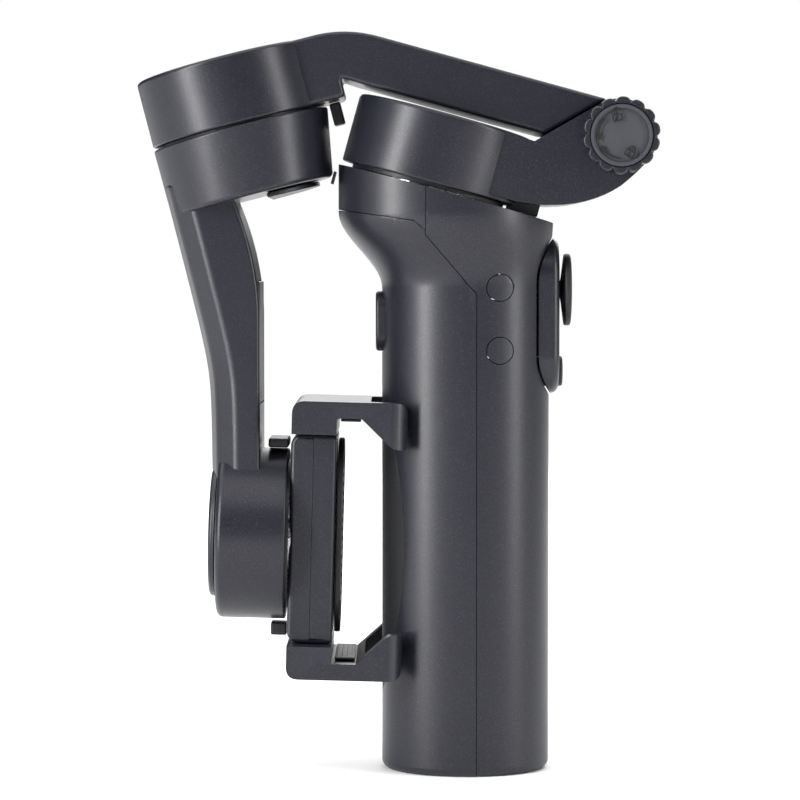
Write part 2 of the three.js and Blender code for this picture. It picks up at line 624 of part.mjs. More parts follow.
// The arm itself, an eight-sided section with its outer corners taken off, lofted up its bend.
function tiltArmStrip() {
  const count = 12;
  const corners = [[0, 1], [6, 1], [1.5, 0.72], [0, 0.3], [0, -0.3], [1.5, -0.72], [6, -1], [0, -1]];
  const geometry = new THREE.CylinderGeometry(1, 1, 1, corners.length, count);
  geometry.rotateX(Math.PI / 2);
  const place = geometry.attributes.position;
  for (let i = 0; i < place.count; i += 1) {
    const z = ARM_FOOT + (ARM_HEAD - ARM_FOOT) * (place.getZ(i) + 0.5);
    const turn = Math.atan2(place.getY(i), place.getX(i));
    const k = (Math.round((4 * turn) / Math.PI) + corners.length) % corners.length;
    const [inset, side] = corners[k];
    const onAxis = Math.hypot(place.getX(i), place.getY(i)) < 0.5;
    const flat = k === 0 || k === corners.length - 1;
    const x = flat ? armInner(z) : armOuter(z) + inset;
    place.setXYZ(i, onAxis ? (armInner(z) + armOuter(z)) / 2 : x, onAxis ? 0 : side * TILT_ARM_HALF, z);
  }
  return solid(geometry);
}

const ROLL_FLIP = new THREE.Matrix4().makeRotationY(-Math.PI / 2);
const rollFixed = (shape) => moved(moved(shape, ROLL_FLIP), new THREE.Matrix4().makeTranslation(ROLL_SEAM, 0, 0));

function addTiltArm() {
  const skewed = FLIP.clone().premultiply(new THREE.Matrix4().makeShear(0, 0, 0, 0, TILT_SKEW, 0));
  const below = moved(cup(TILT_LOW, MOTOR_R, 8, 1.5, TILT_END_R), skewed);
  const shaftWell = moved(rod(SHAFT_R + GAP, -1, 7.4, SMALL), FLIP);
  const half = cut(inFrame(below, tiltFrame), inFrame(shaftWell, tiltFrame));
  const depth = ROLL_SEAM - ROLL_BACK;
  const housing = cup(depth, ROLL_R, HUB_R, HUB_LOW).subtract(rod(SHAFT_R + 0.6, 0, HUB_LOW + 1.2, SMALL));
  const rollHollow = cupHollow(depth, ROLL_R);
  const window = box(ARM_INNER - 1 - GAP, ARM_INNER + 1, -10 - GAP, 10 + GAP, COVER_LOW - GAP, COVER_HIGH + GAP);
  const channel = box(ARM_OUTER + 3.4, ARM_INNER, -8, 8, COVER_LOW + 2, COVER_HIGH - 4);
  const tiltHollow = moved(cupHollow(TILT_LOW, MOTOR_R, TILT_END_R), skewed);
  const strip = cut(
    tiltArmStrip(),
    window,
    channel,
    inFrame(rollFixed(rollHollow), rollFrame),
    inFrame(tiltHollow, tiltFrame),
  );
  const joined = join(half, inFrame(rollFixed(housing), rollFrame), strip);
  const capSeat = inFrame(aboutX(rod(16, ROLL_BACK - 4, ROLL_BACK)), rollFrame);
  add("tilt_arm", joined.subtract(capSeat), BODY);
  add("tilt_arm_cover", box(ARM_INNER - 1, ARM_INNER, -10, 10, COVER_LOW, COVER_HIGH), DARK);
  const under = rod(15, -TILT_LOW - 1.4, -TILT_LOW - GAP).intersect(box(2.6, FAR, -FAR, FAR, -FAR, 0));
  add("tilt_motor_plate", under, DARK, tiltFrame);
  const dome = turned([
    [0, -GAP], [15.6, -GAP], [15.6, -0.8], [14.6, -1.5], [9, -2], [0, -2.2],
  ]);
  add("roll_end_cap", at(aboutX(dome), ROLL_BACK, 0, 0), BODY, rollFrame);
  add("roll_tab", box(2.4, 7.2, -7, 7, 21, 23.2), DARK, rollFrame);
}

// ---------------------------------------------------------------- phone clamp
const MECH_LOW = 13.8; // rack and pinion layer along the roll axis
const MECH_HIGH = 16.4;
const RACK_FAR = 7.2;
const RACK_NEAR = PINION_R + TOOTH_H;
const RACK_END = -17.5;
const ROD_R = 1.3;
const ROD_Y = -9.7;
const ROD_P = 15.2;
const ROD_END = -20;
const JAW_SEAT = 29.6; // how far rods and racks reach into their jaw
const TURN_OVER = new THREE.Matrix4().makeRotationX(Math.PI); // makes the lower jaw's pieces

const jawRod = (grow, high) => at(rod(ROD_R + grow, ROD_END - grow, high, SMALL), ROD_P, ROD_Y, 0);
const jawRack = (grow, high) =>
  box(MECH_LOW - grow, MECH_HIGH + grow, RACK_NEAR - grow, RACK_FAR + grow, RACK_END - grow, high);

function addClampBar() {
  const rotorSeat = aboutX(rod(BELL_R + GAP, 0, BAR_BACK + 1, 36));
  const shaftSeat = aboutX(rod(SHAFT_R + GAP, 0, 11.6, SMALL));
  const back = slab([
    [BAR_BACK + 1.5, -BAR_HALF], [BAR_SPLIT - half, -BAR_HALF], [BAR_SPLIT - half, BAR_HALF],
    [BAR_BACK + 1.5, BAR_HALF], [BAR_BACK, BAR_HALF - 1.5], [BAR_BACK, 1.5 - BAR_HALF],
  ], -BAR_SIDE, BAR_SIDE);
  const pin = aboutX(rod(1.4, BAR_SPLIT - 1, MECH_HIGH + 0.1, SMALL));
  add("clamp_base", join(cut(back, rotorSeat, shaftSeat), pin), BODY, rollFrame);

  const frontBlock = box(BAR_SPLIT + half, BAR_FRONT, -BAR_SIDE, BAR_SIDE, -BAR_HALF, BAR_HALF);
  const tray = box(BAR_SPLIT - 1, MECH_HIGH + 0.6, -12, 12, -22, 22);
  const upperWays = join(jawRod(GAP, FAR), jawRack(GAP, FAR));
  const front = cut(frontBlock, tray, upperWays, moved(upperWays, TURN_OVER));
  add("clamp_front", front, BODY, rollFrame);
  add("back_pad", plate(stadium(12, 23.4), BAR_FRONT + GAP, BAR_FRONT + GAP + PAD_T, 12), RUBBER, rollFrame);
  add("clamp_stop", box(3.8, BAR_BACK - GAP, -2.5, 2.5, -24.4, -21.3), DARK, rollFrame);
}

function jawOutline() {
  const shape = new THREE.Shape();
  const round = 3;
  shape.moveTo(BAR_BACK + 0.2, BAR_HALF + GAP);
  shape.lineTo(BAR_FRONT, BAR_HALF + GAP);
  shape.lineTo(BAR_FRONT, JAW_IN);
  shape.lineTo(24.6, JAW_IN);
  shape.lineTo(31, 22.9);
  shape.quadraticCurveTo(32.2, 21.8, 33.8, 21.7);
  shape.quadraticCurveTo(JAW_REACH, 21.6, JAW_REACH, 22.8);
  shape.lineTo(JAW_REACH, JAW_OUT - round);
  shape.quadraticCurveTo(JAW_REACH, JAW_OUT, JAW_REACH - round, JAW_OUT);
  shape.lineTo(BAR_BACK + 0.2 + round, JAW_OUT);
  shape.quadraticCurveTo(BAR_BACK + 0.2, JAW_OUT, BAR_BACK + 0.2, JAW_OUT - round);
  return shape;
}

// Teeth of the rack: straight-sided, one to each pitch, over the stretch that meets the pinion.
function rackTeeth() {
  const pitch = (2 * Math.PI * PINION_R) / PINION_TEETH;
  const teeth = [];
  for (let q = pitch / 2; q > RACK_END + TOOTH_W; q -= pitch) teeth.push(q);
  teeth.push(pitch * 1.5);
  const tip = PINION_R - TOOTH_H;
  const thick = TOOTH_W / 2;
  return teeth.map((q) => {
    const outline = [
      [tip, q - thick * 0.6], [tip, q + thick * 0.6], [RACK_NEAR + 0.2, q + thick * 1.4],
      [RACK_NEAR + 0.2, q - thick * 1.4],
    ];
    return plate(outline, MECH_LOW, MECH_HIGH);
  });
}

function pinionOutline() {
  const shape = new THREE.Shape();
  const root = PINION_R - TOOTH_H - 0.25;
  const tip = PINION_R + TOOTH_H - 0.1;
  for (let i = 0; i < PINION_TEETH; i += 1) {
    const middle = (2 * Math.PI * i) / PINION_TEETH;
    const corners = [[root, -0.16], [tip, -0.06], [tip, 0.06], [root, 0.16]];
    for (const [r, turn] of corners) {
      const x = r * Math.cos(middle + turn);
      const y = r * Math.sin(middle + turn);
      if (i === 0 && turn === corners[0][1]) shape.moveTo(x, y);
      else shape.lineTo(x, y);
    }
  }
  return shape;
}

function addJaws() {
  const seats = join(jawRod(GAP, JAW_SEAT + GAP), jawRack(GAP, JAW_SEAT + GAP));
  const notch = box(JAW_NOTCH_FLOOR, FAR, -JAW_NOTCH, JAW_NOTCH, 0, FAR);
  const jaw = cut(slab(jawOutline(), -JAW_SIDE, JAW_SIDE, 8), notch, seats);
  const rack = join(jawRack(0, JAW_SEAT), ...rackTeeth());
  const pad = box(19.6, 24.4, -13, 13, JAW_IN - GAP - 0.8, JAW_IN - GAP);
  const pieces = [
    ["jaw", jaw, BODY], ["jaw_pad", pad, RUBBER], ["jaw_rack", rack, DARK], ["jaw_rod", jawRod(0, JAW_SEAT), STEEL],
  ];
  for (const [name, shape, material] of pieces) {
    add(`upper_${name}`, shape, material, rollFrame);
    add(`lower_${name}`, moved(shape, TURN_OVER), material, rollFrame);
  }
  const pinion = plate(pinionOutline(), MECH_LOW, MECH_HIGH).subtract(aboutX(rod(1.4 + GAP, 0, FAR, SMALL)));
  add("jaw_pinion", pinion, BRASS, rollFrame);
}

// ---------------------------------------------------------------- assembly
addShells();
addPlugs();
addPanel();
addJoystick();
addButtons();
addBase();
addInsides();
addDeck();
addMotor("pan", panFrame, 0);
addPanArm();
addFoldJoint();
addUpperArm();
addMotor("tilt", tiltFrame, 0, FLIP);
addTiltArm();
addMotor("roll", rollFrame, ROLL_SEAM, TO_X, 3.5);
addClampBar();
addJaws();

export default gimbal;
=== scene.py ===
# %% [markdown]
# A folding phone gimbal, dressed round its working frame.
# The frame holds the real parts and joints, in metres, with +Z up the handle, +X out of the control
# panel and +Y across the grip. Every piece made here goes where the frame says.

# %% The frame, and its size before anything is added
import json
import math
import bmesh
import bpy
from mathutils import Matrix, Vector


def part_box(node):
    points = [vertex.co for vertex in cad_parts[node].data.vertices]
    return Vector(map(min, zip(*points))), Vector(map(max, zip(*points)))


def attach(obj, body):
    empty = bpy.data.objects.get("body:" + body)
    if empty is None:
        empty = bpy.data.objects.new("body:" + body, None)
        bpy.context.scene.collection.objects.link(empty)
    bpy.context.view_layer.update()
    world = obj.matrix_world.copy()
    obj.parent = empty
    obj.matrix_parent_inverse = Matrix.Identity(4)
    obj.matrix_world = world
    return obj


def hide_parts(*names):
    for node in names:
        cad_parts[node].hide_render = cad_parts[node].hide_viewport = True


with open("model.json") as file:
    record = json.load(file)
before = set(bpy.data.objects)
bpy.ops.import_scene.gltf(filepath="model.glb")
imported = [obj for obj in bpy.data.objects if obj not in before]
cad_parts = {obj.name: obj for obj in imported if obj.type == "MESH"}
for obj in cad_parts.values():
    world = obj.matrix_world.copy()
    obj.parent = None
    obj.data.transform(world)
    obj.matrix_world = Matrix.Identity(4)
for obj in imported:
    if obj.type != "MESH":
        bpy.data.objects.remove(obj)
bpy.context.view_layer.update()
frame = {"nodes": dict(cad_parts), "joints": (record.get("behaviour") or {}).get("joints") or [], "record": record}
nodes = frame["nodes"]

# %% [markdown]
# The camera looks along +Y from the height of the neck, far back with a long lens, so the folded
# gimbal shows its side with hardly any perspective. It tips down a little, to aim at the middle of
# the gimbal.

# %% Camera
EYE = Vector((-0.0157, -0.723, 0.1229))
AIM = Vector((-0.0157, 0, 0.0885))
camera = bpy.data.objects.new("camera", bpy.data.cameras.new("camera"))
camera.location = EYE
camera.rotation_euler = (AIM - EYE).to_track_quat("-Z", "Y").to_euler()
camera.data.lens = 135.6
camera.data.sensor_width = 36
camera.data.clip_start = 0.01
bpy.context.scene.collection.objects.link(camera)
bpy.context.scene.camera = camera
print("camera", [round(c, 3) for c in camera.location])

# %% [markdown]
# The gimbal stands on a white sweep between two tall soft boxes, one to each side of the camera. They
# give each round surface its two broad vertical highlights, a third box lights it from behind, a
# wide soft sun lights the top faces, and the dim world fills the rest.

# %% Stage and lights
FLOOR_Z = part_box("base_plate")[0].z
LAMPS_AIM_AT = Vector((-0.015, 0, 0.1))


def stage_floor():
    mesh = bpy.data.meshes.new("floor")
    size = 6
    mesh.from_pydata([(-size, -size, FLOOR_Z), (size, -size, FLOOR_Z), (size, size, FLOOR_Z),
                      (-size, size, FLOOR_Z)], [], [(0, 1, 2, 3)])
    floor = bpy.data.objects.new("floor", mesh)
    bpy.context.scene.collection.objects.link(floor)
    pale = bpy.data.materials.new("pale_floor")
    pale.use_nodes = True
    shader = pale.node_tree.nodes["Principled BSDF"]
    shader.inputs["Base Color"].default_value = (0.93, 0.93, 0.93, 1)
    shader.inputs["Roughness"].default_value = 0.9
    shader.inputs["Specular IOR Level"].default_value = 0.1
    floor.data.materials.append(pale)


def soft_box(name, place, width, height, power):
    lamp = bpy.data.lights.new(name, "AREA")
    lamp.shape = "RECTANGLE"
    lamp.size = width
    lamp.size_y = height
    lamp.energy = power
    light = bpy.data.objects.new(name, lamp)
    light.location = place
    aim = LAMPS_AIM_AT - Vector(place)
    light.rotation_euler = aim.to_track_quat("-Z", "Y").to_euler()
    bpy.context.scene.collection.objects.link(light)


def overhead_sun(strength, spread):
    lamp = bpy.data.lights.new("overhead", "SUN")
    lamp.energy = strength
    lamp.angle = math.radians(spread)
    bpy.context.scene.collection.objects.link(bpy.data.objects.new("overhead", lamp))


def studio_world(seen, felt):
    """White behind the object, and a dimmer, even fill on it."""
    world = bpy.data.worlds.new("studio")
    world.use_nodes = True
    tree = world.node_tree
    ground = tree.nodes["Background"]
    ground.inputs["Color"].default_value = (1, 1, 1, 1)
    path = tree.nodes.new("ShaderNodeLightPath")
    power = add_node(tree, "ShaderNodeMapRange", {"To Min": felt, "To Max": seen})
    tree.links.new(path.outputs["Is Camera Ray"], power.inputs["Value"])
    tree.links.new(power.outputs[0], ground.inputs["Strength"])
    bpy.context.scene.world = world


def add_node(tree, kind, values=(), **settings):
    node = tree.nodes.new(kind)
    for key, value in settings.items():
        setattr(node, key, value)
    for key, value in dict(values).items():
        node.inputs[key].default_value = value
    return node


stage_floor()
soft_box("left_box", (-0.62, -0.5, 0.26), 0.16, 0.8, 11)
soft_box("right_box", (0.8, -0.4, 0.26), 0.16, 0.8, 6)
soft_box("back_box", (0.1, 0.9, 0.5), 0.8, 0.5, 5)
overhead_sun(3.5, 100)
studio_world(1.0, 0.03)
bpy.context.scene.view_settings.view_transform = "Standard"

# %% [markdown]
# The gimbal leans in three places: the pan motor on the sloping deck, the tilt motor past the elbow
# and the roll motor behind the phone. Pieces are modelled upright in millimetres in one of these
# leaning frames, and the frame's matrix then carries them to their place. The joints give each
# frame its position and direction, so nothing is measured twice.

# %% Working frames, in millimetres
MM = 0.001
joints = {joint["name"]: joint for joint in frame["joints"]}
ACROSS = Vector((0, 1, 0))


def leaning(name, up):
    """Matrix of a frame at a joint, with +Y across the gimbal and the given up direction."""
    along = ACROSS.cross(up).normalized()
    matrix = Matrix((along, ACROSS, up.normalized())).transposed().to_4x4()
    matrix.translation = Vector(joints[name]["pos_m"]) / MM
    return matrix


pan_axis = Vector(joints["pan"]["axis"])
tilt_axis = -Vector(joints["tilt"]["axis"])
roll_axis = Vector(joints["roll"]["axis"])
WORLD = Matrix.Identity(4)
PAN = leaning("pan", pan_axis)
TILT = leaning("tilt", tilt_axis)
ROLL = leaning("roll", roll_axis.cross(ACROSS))
FOLD = PAN.inverted() @ (Vector(joints["fold_hinge"]["pos_m"]) / MM)
node_body = {n: body for body, names in frame["record"]["behaviour"]["bodies"].items() for n in names}
print("fold axis in the pan frame:", [round(c, 2) for c in FOLD])

# %% [markdown]
# Moulded housings are made of a few solid shapes: prisms, turned shapes and lofted sections, joined
# and cut with exact booleans, with their sharp edges rounded at the end by a bevel. Modelling in
# millimetres keeps the booleans well conditioned.

# %% Solid shapes
def new_object(name, bm):
    bmesh.ops.recalc_face_normals(bm, faces=bm.faces)
    mesh = bpy.data.meshes.new(name)
    bm.to_mesh(mesh)
    bm.free()
    made = bpy.data.objects.new(name, mesh)
    bpy.context.scene.collection.objects.link(made)
    return made


def rings_to_object(name, rings, closed_ends=True):
    """Skins a list of equal rings of points; the first and last are closed with a flat face."""
    bm = bmesh.new()
    made = [[bm.verts.new(point) for point in ring] for ring in rings]
    count = len(made[0])
    for low, high in zip(made, made[1:]):
        for i in range(count):
            j = (i + 1) % count
            bm.faces.new((low[i], low[j], high[j], high[i]))
    if closed_ends:
        bm.faces.new(reversed(made[0]))
        bm.faces.new(made[-1])
    return new_object(name, bm)


PLACES = {
    "xz": lambda a, b, t: (a, t, b),
    "yz": lambda a, b, t: (t, a, b),
    "xy": lambda a, b, t: (a, b, t),
}


def prism(outline, low, high, plane="xz"):
    place = PLACES[plane]
    return rings_to_object("prism", [[place(a, b, t) for a, b in outline] for t in (low, high)])


def block(x0, x1, y0, y1, z0, z1):
    return prism([(x0, z0), (x1, z0), (x1, z1), (x0, z1)], y0, y1)


def turned(profile, sides=128, axis="z"):
    """Solid of revolution from (radius, height) points that start and end on the axis."""
    bm = bmesh.new()
    rings = []
    for radius, height in profile:
        if radius < 1e-6:
            rings.append([bm.verts.new((0, 0, height))])
            continue
        turns = (2 * math.pi * i / sides for i in range(sides))
        rings.append([bm.verts.new((radius * math.cos(a), radius * math.sin(a), height)) for a in turns])
    for low, high in zip(rings, rings[1:]):
        for i in range(sides):
            j = (i + 1) % sides
            around = [low[i % len(low)], low[j % len(low)], high[j % len(high)], high[i % len(high)]]
            corners = list(dict.fromkeys(around))
            if len(corners) > 2:
                bm.faces.new(corners)
    turn = {"z": WORLD, "x": Matrix.Rotation(math.pi / 2, 4, "Y"),
            "y": Matrix.Rotation(-math.pi / 2, 4, "X")}[axis]
    bmesh.ops.transform(bm, matrix=turn, verts=bm.verts)
    return new_object("turned", bm)


def rod(radius, low, high, axis="z", sides=96):
    return turned([(0, low), (radius, low), (radius, high), (0, high)], sides, axis)


def arc(cx, cy, radius, start, end, steps=10):
    """Points on an arc, in degrees."""
    turns = (math.radians(start + (end - start) * i / steps) for i in range(steps + 1))
    return [(cx + radius * math.cos(a), cy + radius * math.sin(a)) for a in turns]


def bend(a, control, b, steps=10):
    """Points on a quadratic curve from a to b."""
    points = []
    for i in range(steps + 1):
        t = i / steps
        near, middle, far = (1 - t) ** 2, 2 * t * (1 - t), t * t
        points.append(tuple(near * p + middle * q + far * r for p, q, r in zip(a, control, b)))
    return points


def moved(made, matrix):
    made.data.transform(matrix)
    return made


def shifted(made, x=0, y=0, z=0):
    return moved(made, Matrix.Translation((x, y, z)))


# %% Joining, cutting and rounding
def applied(made):
    """Turns the object's modifiers into its plain mesh."""
    graph = bpy.context.evaluated_depsgraph_get()
    mesh = bpy.data.meshes.new_from_object(made.evaluated_get(graph))
    made.modifiers.clear()
    old = made.data
    made.data = mesh
    bpy.data.meshes.remove(old)
    return made


def combine(base, others, operation):
    for other in others:
        step = base.modifiers.new("step", "BOOLEAN")
        step.operation = operation
        step.solver = "EXACT"
        step.object = other
        applied(base)
        bpy.data.objects.remove(other)
    return base


def join(base, *others):
    return combine(base, others, "UNION")


def cut(base, *others):
    return combine(base, others, "DIFFERENCE")


def common(base, other):
    return combine(base, [other], "INTERSECT")


def copy_of(made):
    twin = bpy.data.objects.new(made.name, made.data.copy())
    bpy.context.scene.collection.objects.link(twin)
    return twin


def rounded(made, width, segments=3, angle=32):
    soften = made.modifiers.new("soften", "BEVEL")
    soften.width = width
    soften.segments = segments
    soften.limit_method = "ANGLE"
    soften.angle_limit = math.radians(angle)
    soften.miter_outer = "MITER_ARC"
    return applied(made)


def tidied(made):
    """Welds the boolean's loose ends and drops slivers."""
    bm = bmesh.new()
    bm.from_mesh(made.data)
    bmesh.ops.remove_doubles(bm, verts=bm.verts, dist=0.004)
    bmesh.ops.dissolve_degenerate(bm, edges=bm.edges, dist=0.004)
    bm.to_mesh(made.data)
    bm.free()
    return made


def place_piece(name, made, material, *replaced, matrix=WORLD, body=None):
    """Carries a finished solid to its place in metres and hangs it on its body."""
    made.name = name
    made.data.name = name
    made.data.transform(Matrix.Scale(MM, 4) @ matrix)
    made.data.materials.clear()
    made.data.materials.append(material)
    for polygon in made.data.polygons:
        polygon.material_index = 0
    made.data.shade_smooth()
    made.data.set_sharp_from_angle(angle=math.radians(34))
    even = made.modifiers.new("even", "WEIGHTED_NORMAL")
    even.keep_sharp = True
    applied(made)
    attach(made, body or node_body[replaced[0]])
    if replaced:
        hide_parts(*replaced)
    print(name, len(made.data.polygons), "faces")


slots = {part["node"]: part["material_slot"] for part in frame["record"]["subparts"]}

# %% [markdown]
# The gimbal is moulded in charcoal plastic with a fine pearl fleck and a spark-eroded satin grain.
# The same three effects return in every finish, so each is a node group: a fleck that mixes a pale
# colour into the base, a grain that bumps the normal and unsettles the gloss, and a rub mask that
# finds the edges hands have polished. They read object coordinates, so nothing slides when a part
# moves.

# %% Shared effects as node groups
def new_group(name, inputs, outputs):
    tree = bpy.data.node_groups.new(name, "ShaderNodeTree")
    for label, kind, value in inputs:
        socket = tree.interface.new_socket(name=label, in_out="INPUT", socket_type=kind)
        socket.default_value = value
    for label, kind in outputs:
        tree.interface.new_socket(name=label, in_out="OUTPUT", socket_type=kind)
    return tree, tree.nodes.new("NodeGroupInput"), tree.nodes.new("NodeGroupOutput")


def noise_in(tree, scale_socket, detail=2.0):
    place = tree.nodes.new("ShaderNodeTexCoord")
    noise = add_node(tree, "ShaderNodeTexNoise", {"Detail": detail})
    tree.links.new(place.outputs["Object"], noise.inputs["Vector"])
    tree.links.new(scale_socket, noise.inputs["Scale"])
    return noise


def make_fleck_group():
    tree, ins, outs = new_group(
        "pearl_fleck",
        [("Base", "NodeSocketColor", (0.05, 0.05, 0.06, 1)), ("Fleck", "NodeSocketColor", (0.2, 0.2, 0.22, 1)),
         ("Scale", "NodeSocketFloat", 4200.0), ("Amount", "NodeSocketFloat", 0.5)],
        [("Color", "NodeSocketColor"), ("Mask", "NodeSocketFloat")],
    )
    noise = noise_in(tree, ins.outputs["Scale"], 1.0)
    pick = add_node(tree, "ShaderNodeMapRange", {"From Min": 0.56, "From Max": 0.74})
    share = add_node(tree, "ShaderNodeMath", operation="MULTIPLY")
    cloud_scale = add_node(tree, "ShaderNodeMath", {1: 0.02}, operation="MULTIPLY")
    tree.links.new(ins.outputs["Scale"], cloud_scale.inputs[0])
    cloud = noise_in(tree, cloud_scale.outputs[0], 3.0)
    tone = add_node(tree, "ShaderNodeMapRange", {"To Min": 0.9, "To Max": 1.1})
    tinted = add_node(tree, "ShaderNodeMix", {0: 1.0}, data_type="RGBA", blend_type="MULTIPLY")
    mix = add_node(tree, "ShaderNodeMix", data_type="RGBA")
    tree.links.new(noise.outputs["Fac"], pick.inputs["Value"])
    tree.links.new(pick.outputs[0], share.inputs[0])
    tree.links.new(ins.outputs["Amount"], share.inputs[1])
    tree.links.new(cloud.outputs["Fac"], tone.inputs["Value"])
    tree.links.new(ins.outputs["Base"], tinted.inputs[6])
    tree.links.new(tone.outputs[0], tinted.inputs[7])
    tree.links.new(share.outputs[0], mix.inputs[0])
    tree.links.new(tinted.outputs[2], mix.inputs[6])
    tree.links.new(ins.outputs["Fleck"], mix.inputs[7])
    tree.links.new(mix.outputs[2], outs.inputs["Color"])
    tree.links.new(share.outputs[0], outs.inputs["Mask"])
    return tree


def make_grain_group():
    tree, ins, outs = new_group(
        "moulded_grain",
        [("Scale", "NodeSocketFloat", 2600.0), ("Depth", "NodeSocketFloat", 0.1),
         ("Gloss Low", "NodeSocketFloat", 0.38), ("Gloss High", "NodeSocketFloat", 0.48)],
        [("Roughness", "NodeSocketFloat"), ("Normal", "NodeSocketVector")],
    )
    noise = noise_in(tree, ins.outputs["Scale"], 3.0)
    range_node = add_node(tree, "ShaderNodeMapRange", {"From Min": 0.3, "From Max": 0.7})
    bump = add_node(tree, "ShaderNodeBump", {"Distance": 0.00003})
    tree.links.new(noise.outputs["Fac"], range_node.inputs["Value"])
    tree.links.new(ins.outputs["Gloss Low"], range_node.inputs["To Min"])
    tree.links.new(ins.outputs["Gloss High"], range_node.inputs["To Max"])
    tree.links.new(noise.outputs["Fac"], bump.inputs["Height"])
    tree.links.new(ins.outputs["Depth"], bump.inputs["Strength"])
    tree.links.new(range_node.outputs[0], outs.inputs["Roughness"])
    tree.links.new(bump.outputs["Normal"], outs.inputs["Normal"])
    return tree


def make_rub_group():
    tree, ins, outs = new_group(
        "edge_rub",
        [("Color", "NodeSocketColor", (0.05, 0.05, 0.06, 1)), ("Rubbed", "NodeSocketColor", (0.1, 0.1, 0.11, 1)),
         ("Amount", "NodeSocketFloat", 0.4)],
        [("Color", "NodeSocketColor"), ("Mask", "NodeSocketFloat")],
    )
    shape = tree.nodes.new("ShaderNodeNewGeometry")
    edge = add_node(tree, "ShaderNodeMapRange", {"From Min": 0.53, "From Max": 0.62})
    share = add_node(tree, "ShaderNodeMath", operation="MULTIPLY")
    mix = add_node(tree, "ShaderNodeMix", data_type="RGBA")
    tree.links.new(shape.outputs["Pointiness"], edge.inputs["Value"])
    tree.links.new(edge.outputs[0], share.inputs[0])
    tree.links.new(ins.outputs["Amount"], share.inputs[1])
    tree.links.new(share.outputs[0], mix.inputs[0])
    tree.links.new(ins.outputs["Color"], mix.inputs[6])
    tree.links.new(ins.outputs["Rubbed"], mix.inputs[7])
    tree.links.new(mix.outputs[2], outs.inputs["Color"])
    tree.links.new(share.outputs[0], outs.inputs["Mask"])
    return tree


FLECK = make_fleck_group()
GRAIN = make_grain_group()
RUB = make_rub_group()
print("node groups:", [group.name for group in (FLECK, GRAIN, RUB)])

# %% [markdown]
# Every finish is one Principled shader fed by the three groups. What differs from finish to finish
# is the colour, the size of fleck and grain, and how shiny the skin is.

# %% Finishes
def use_group(tree, group, values):
    node = tree.nodes.new("ShaderNodeGroup")
    node.node_tree = group
    for key, value in values.items():
        node.inputs[key].default_value = value
    return node


def finish(name, color, fleck, fleck_scale, fleck_amount, grain_scale, depth, gloss, rub=0.3, metal=0.0):
    material = bpy.data.materials.new(name)
    material.use_nodes = True
    tree = material.node_tree
    shader = tree.nodes["Principled BSDF"]
    shader.inputs["Metallic"].default_value = metal
    shader.inputs["Specular IOR Level"].default_value = 0.5 if metal else 0.4
    flecks = use_group(tree, FLECK, {"Base": (*color, 1), "Fleck": (*fleck, 1), "Scale": fleck_scale,
                                     "Amount": fleck_amount})
    grain = use_group(tree, GRAIN, {"Scale": grain_scale, "Depth": depth, "Gloss Low": gloss[0],
                                    "Gloss High": gloss[1]})
    rubbed = tuple(min(1.0, c * 1.7 + 0.012) for c in color)
    edges = use_group(tree, RUB, {"Rubbed": (*rubbed, 1), "Amount": rub})
    tree.links.new(flecks.outputs["Color"], edges.inputs["Color"])
    tree.links.new(edges.outputs["Color"], shader.inputs["Base Color"])
    tree.links.new(grain.outputs["Roughness"], shader.inputs["Roughness"])
    tree.links.new(grain.outputs["Normal"], shader.inputs["Normal"])
    return material


satin = finish("charcoal_satin", (0.0078, 0.0082, 0.0132), (0.07, 0.073, 0.095), 4400, 0.4, 3000, 0.2,
               (0.31, 0.4))
trim = finish("dark_trim", (0.0065, 0.0068, 0.0098), (0.03, 0.031, 0.04), 5600, 0.25, 2200, 0.2, (0.38, 0.5))
soft = finish("soft_rubber", (0.0075, 0.0077, 0.0095), (0.03, 0.03, 0.036), 5000, 0.25, 1500, 0.4, (0.5, 0.62))
steel = finish("turned_steel", (0.6, 0.6, 0.62), (0.75, 0.75, 0.76), 900, 0.4, 1600, 0.1, (0.22, 0.36), 0.2, 1)
brass = finish("turned_brass", (0.62, 0.42, 0.17), (0.75, 0.55, 0.3), 900, 0.4, 1400, 0.1, (0.25, 0.4), 0.2, 1)
winding = finish("enamelled_wire", (0.42, 0.17, 0.06), (0.6, 0.3, 0.12), 1500, 0.5, 900, 0.4,
                 (0.3, 0.45), 0.3, 1)
board = finish("circuit_board", (0.01, 0.09, 0.035), (0.35, 0.3, 0.12), 500, 0.6, 900, 0.2, (0.3, 0.45))
wrap = finish("cell_wrap", (0.02, 0.09, 0.24), (0.05, 0.14, 0.3), 700, 0.3, 500, 0.1, (0.2, 0.3))
disc_grey = finish("disc_grey", (0.034, 0.035, 0.042), (0.09, 0.09, 0.1), 5000, 0.3, 2600, 0.2, (0.5, 0.62))
blued = finish("blued_steel", (0.16, 0.16, 0.17), (0.3, 0.3, 0.31), 900, 0.4, 1600, 0.1, (0.28, 0.4), 0.2, 1)
icon = finish("sign_black", (0.0025, 0.0026, 0.003), (0.01, 0.01, 0.012), 5000, 0.2, 2000, 0.1, (0.5, 0.6), 0.0)
by_slot = {"body": satin, "dark": trim, "rubber": soft, "steel": steel, "brass": brass, "winding": winding,
           "board": board, "cell": wrap}
for node_name, node in nodes.items():
    node.data.materials.clear()
    node.data.materials.append(by_slot[slots[node_name]])
print("finishes:", sorted(m.name for m in bpy.data.materials))

# %% [markdown]
# The handle is one oval tube that flares into a wider neck. It could be a stretched cylinder with a
# lattice, but lofting ovals up its height gives the exact radii at each level. The same loft, drawn
# a wall's thickness smaller, hollows it, and its top is cut by the sloping deck.

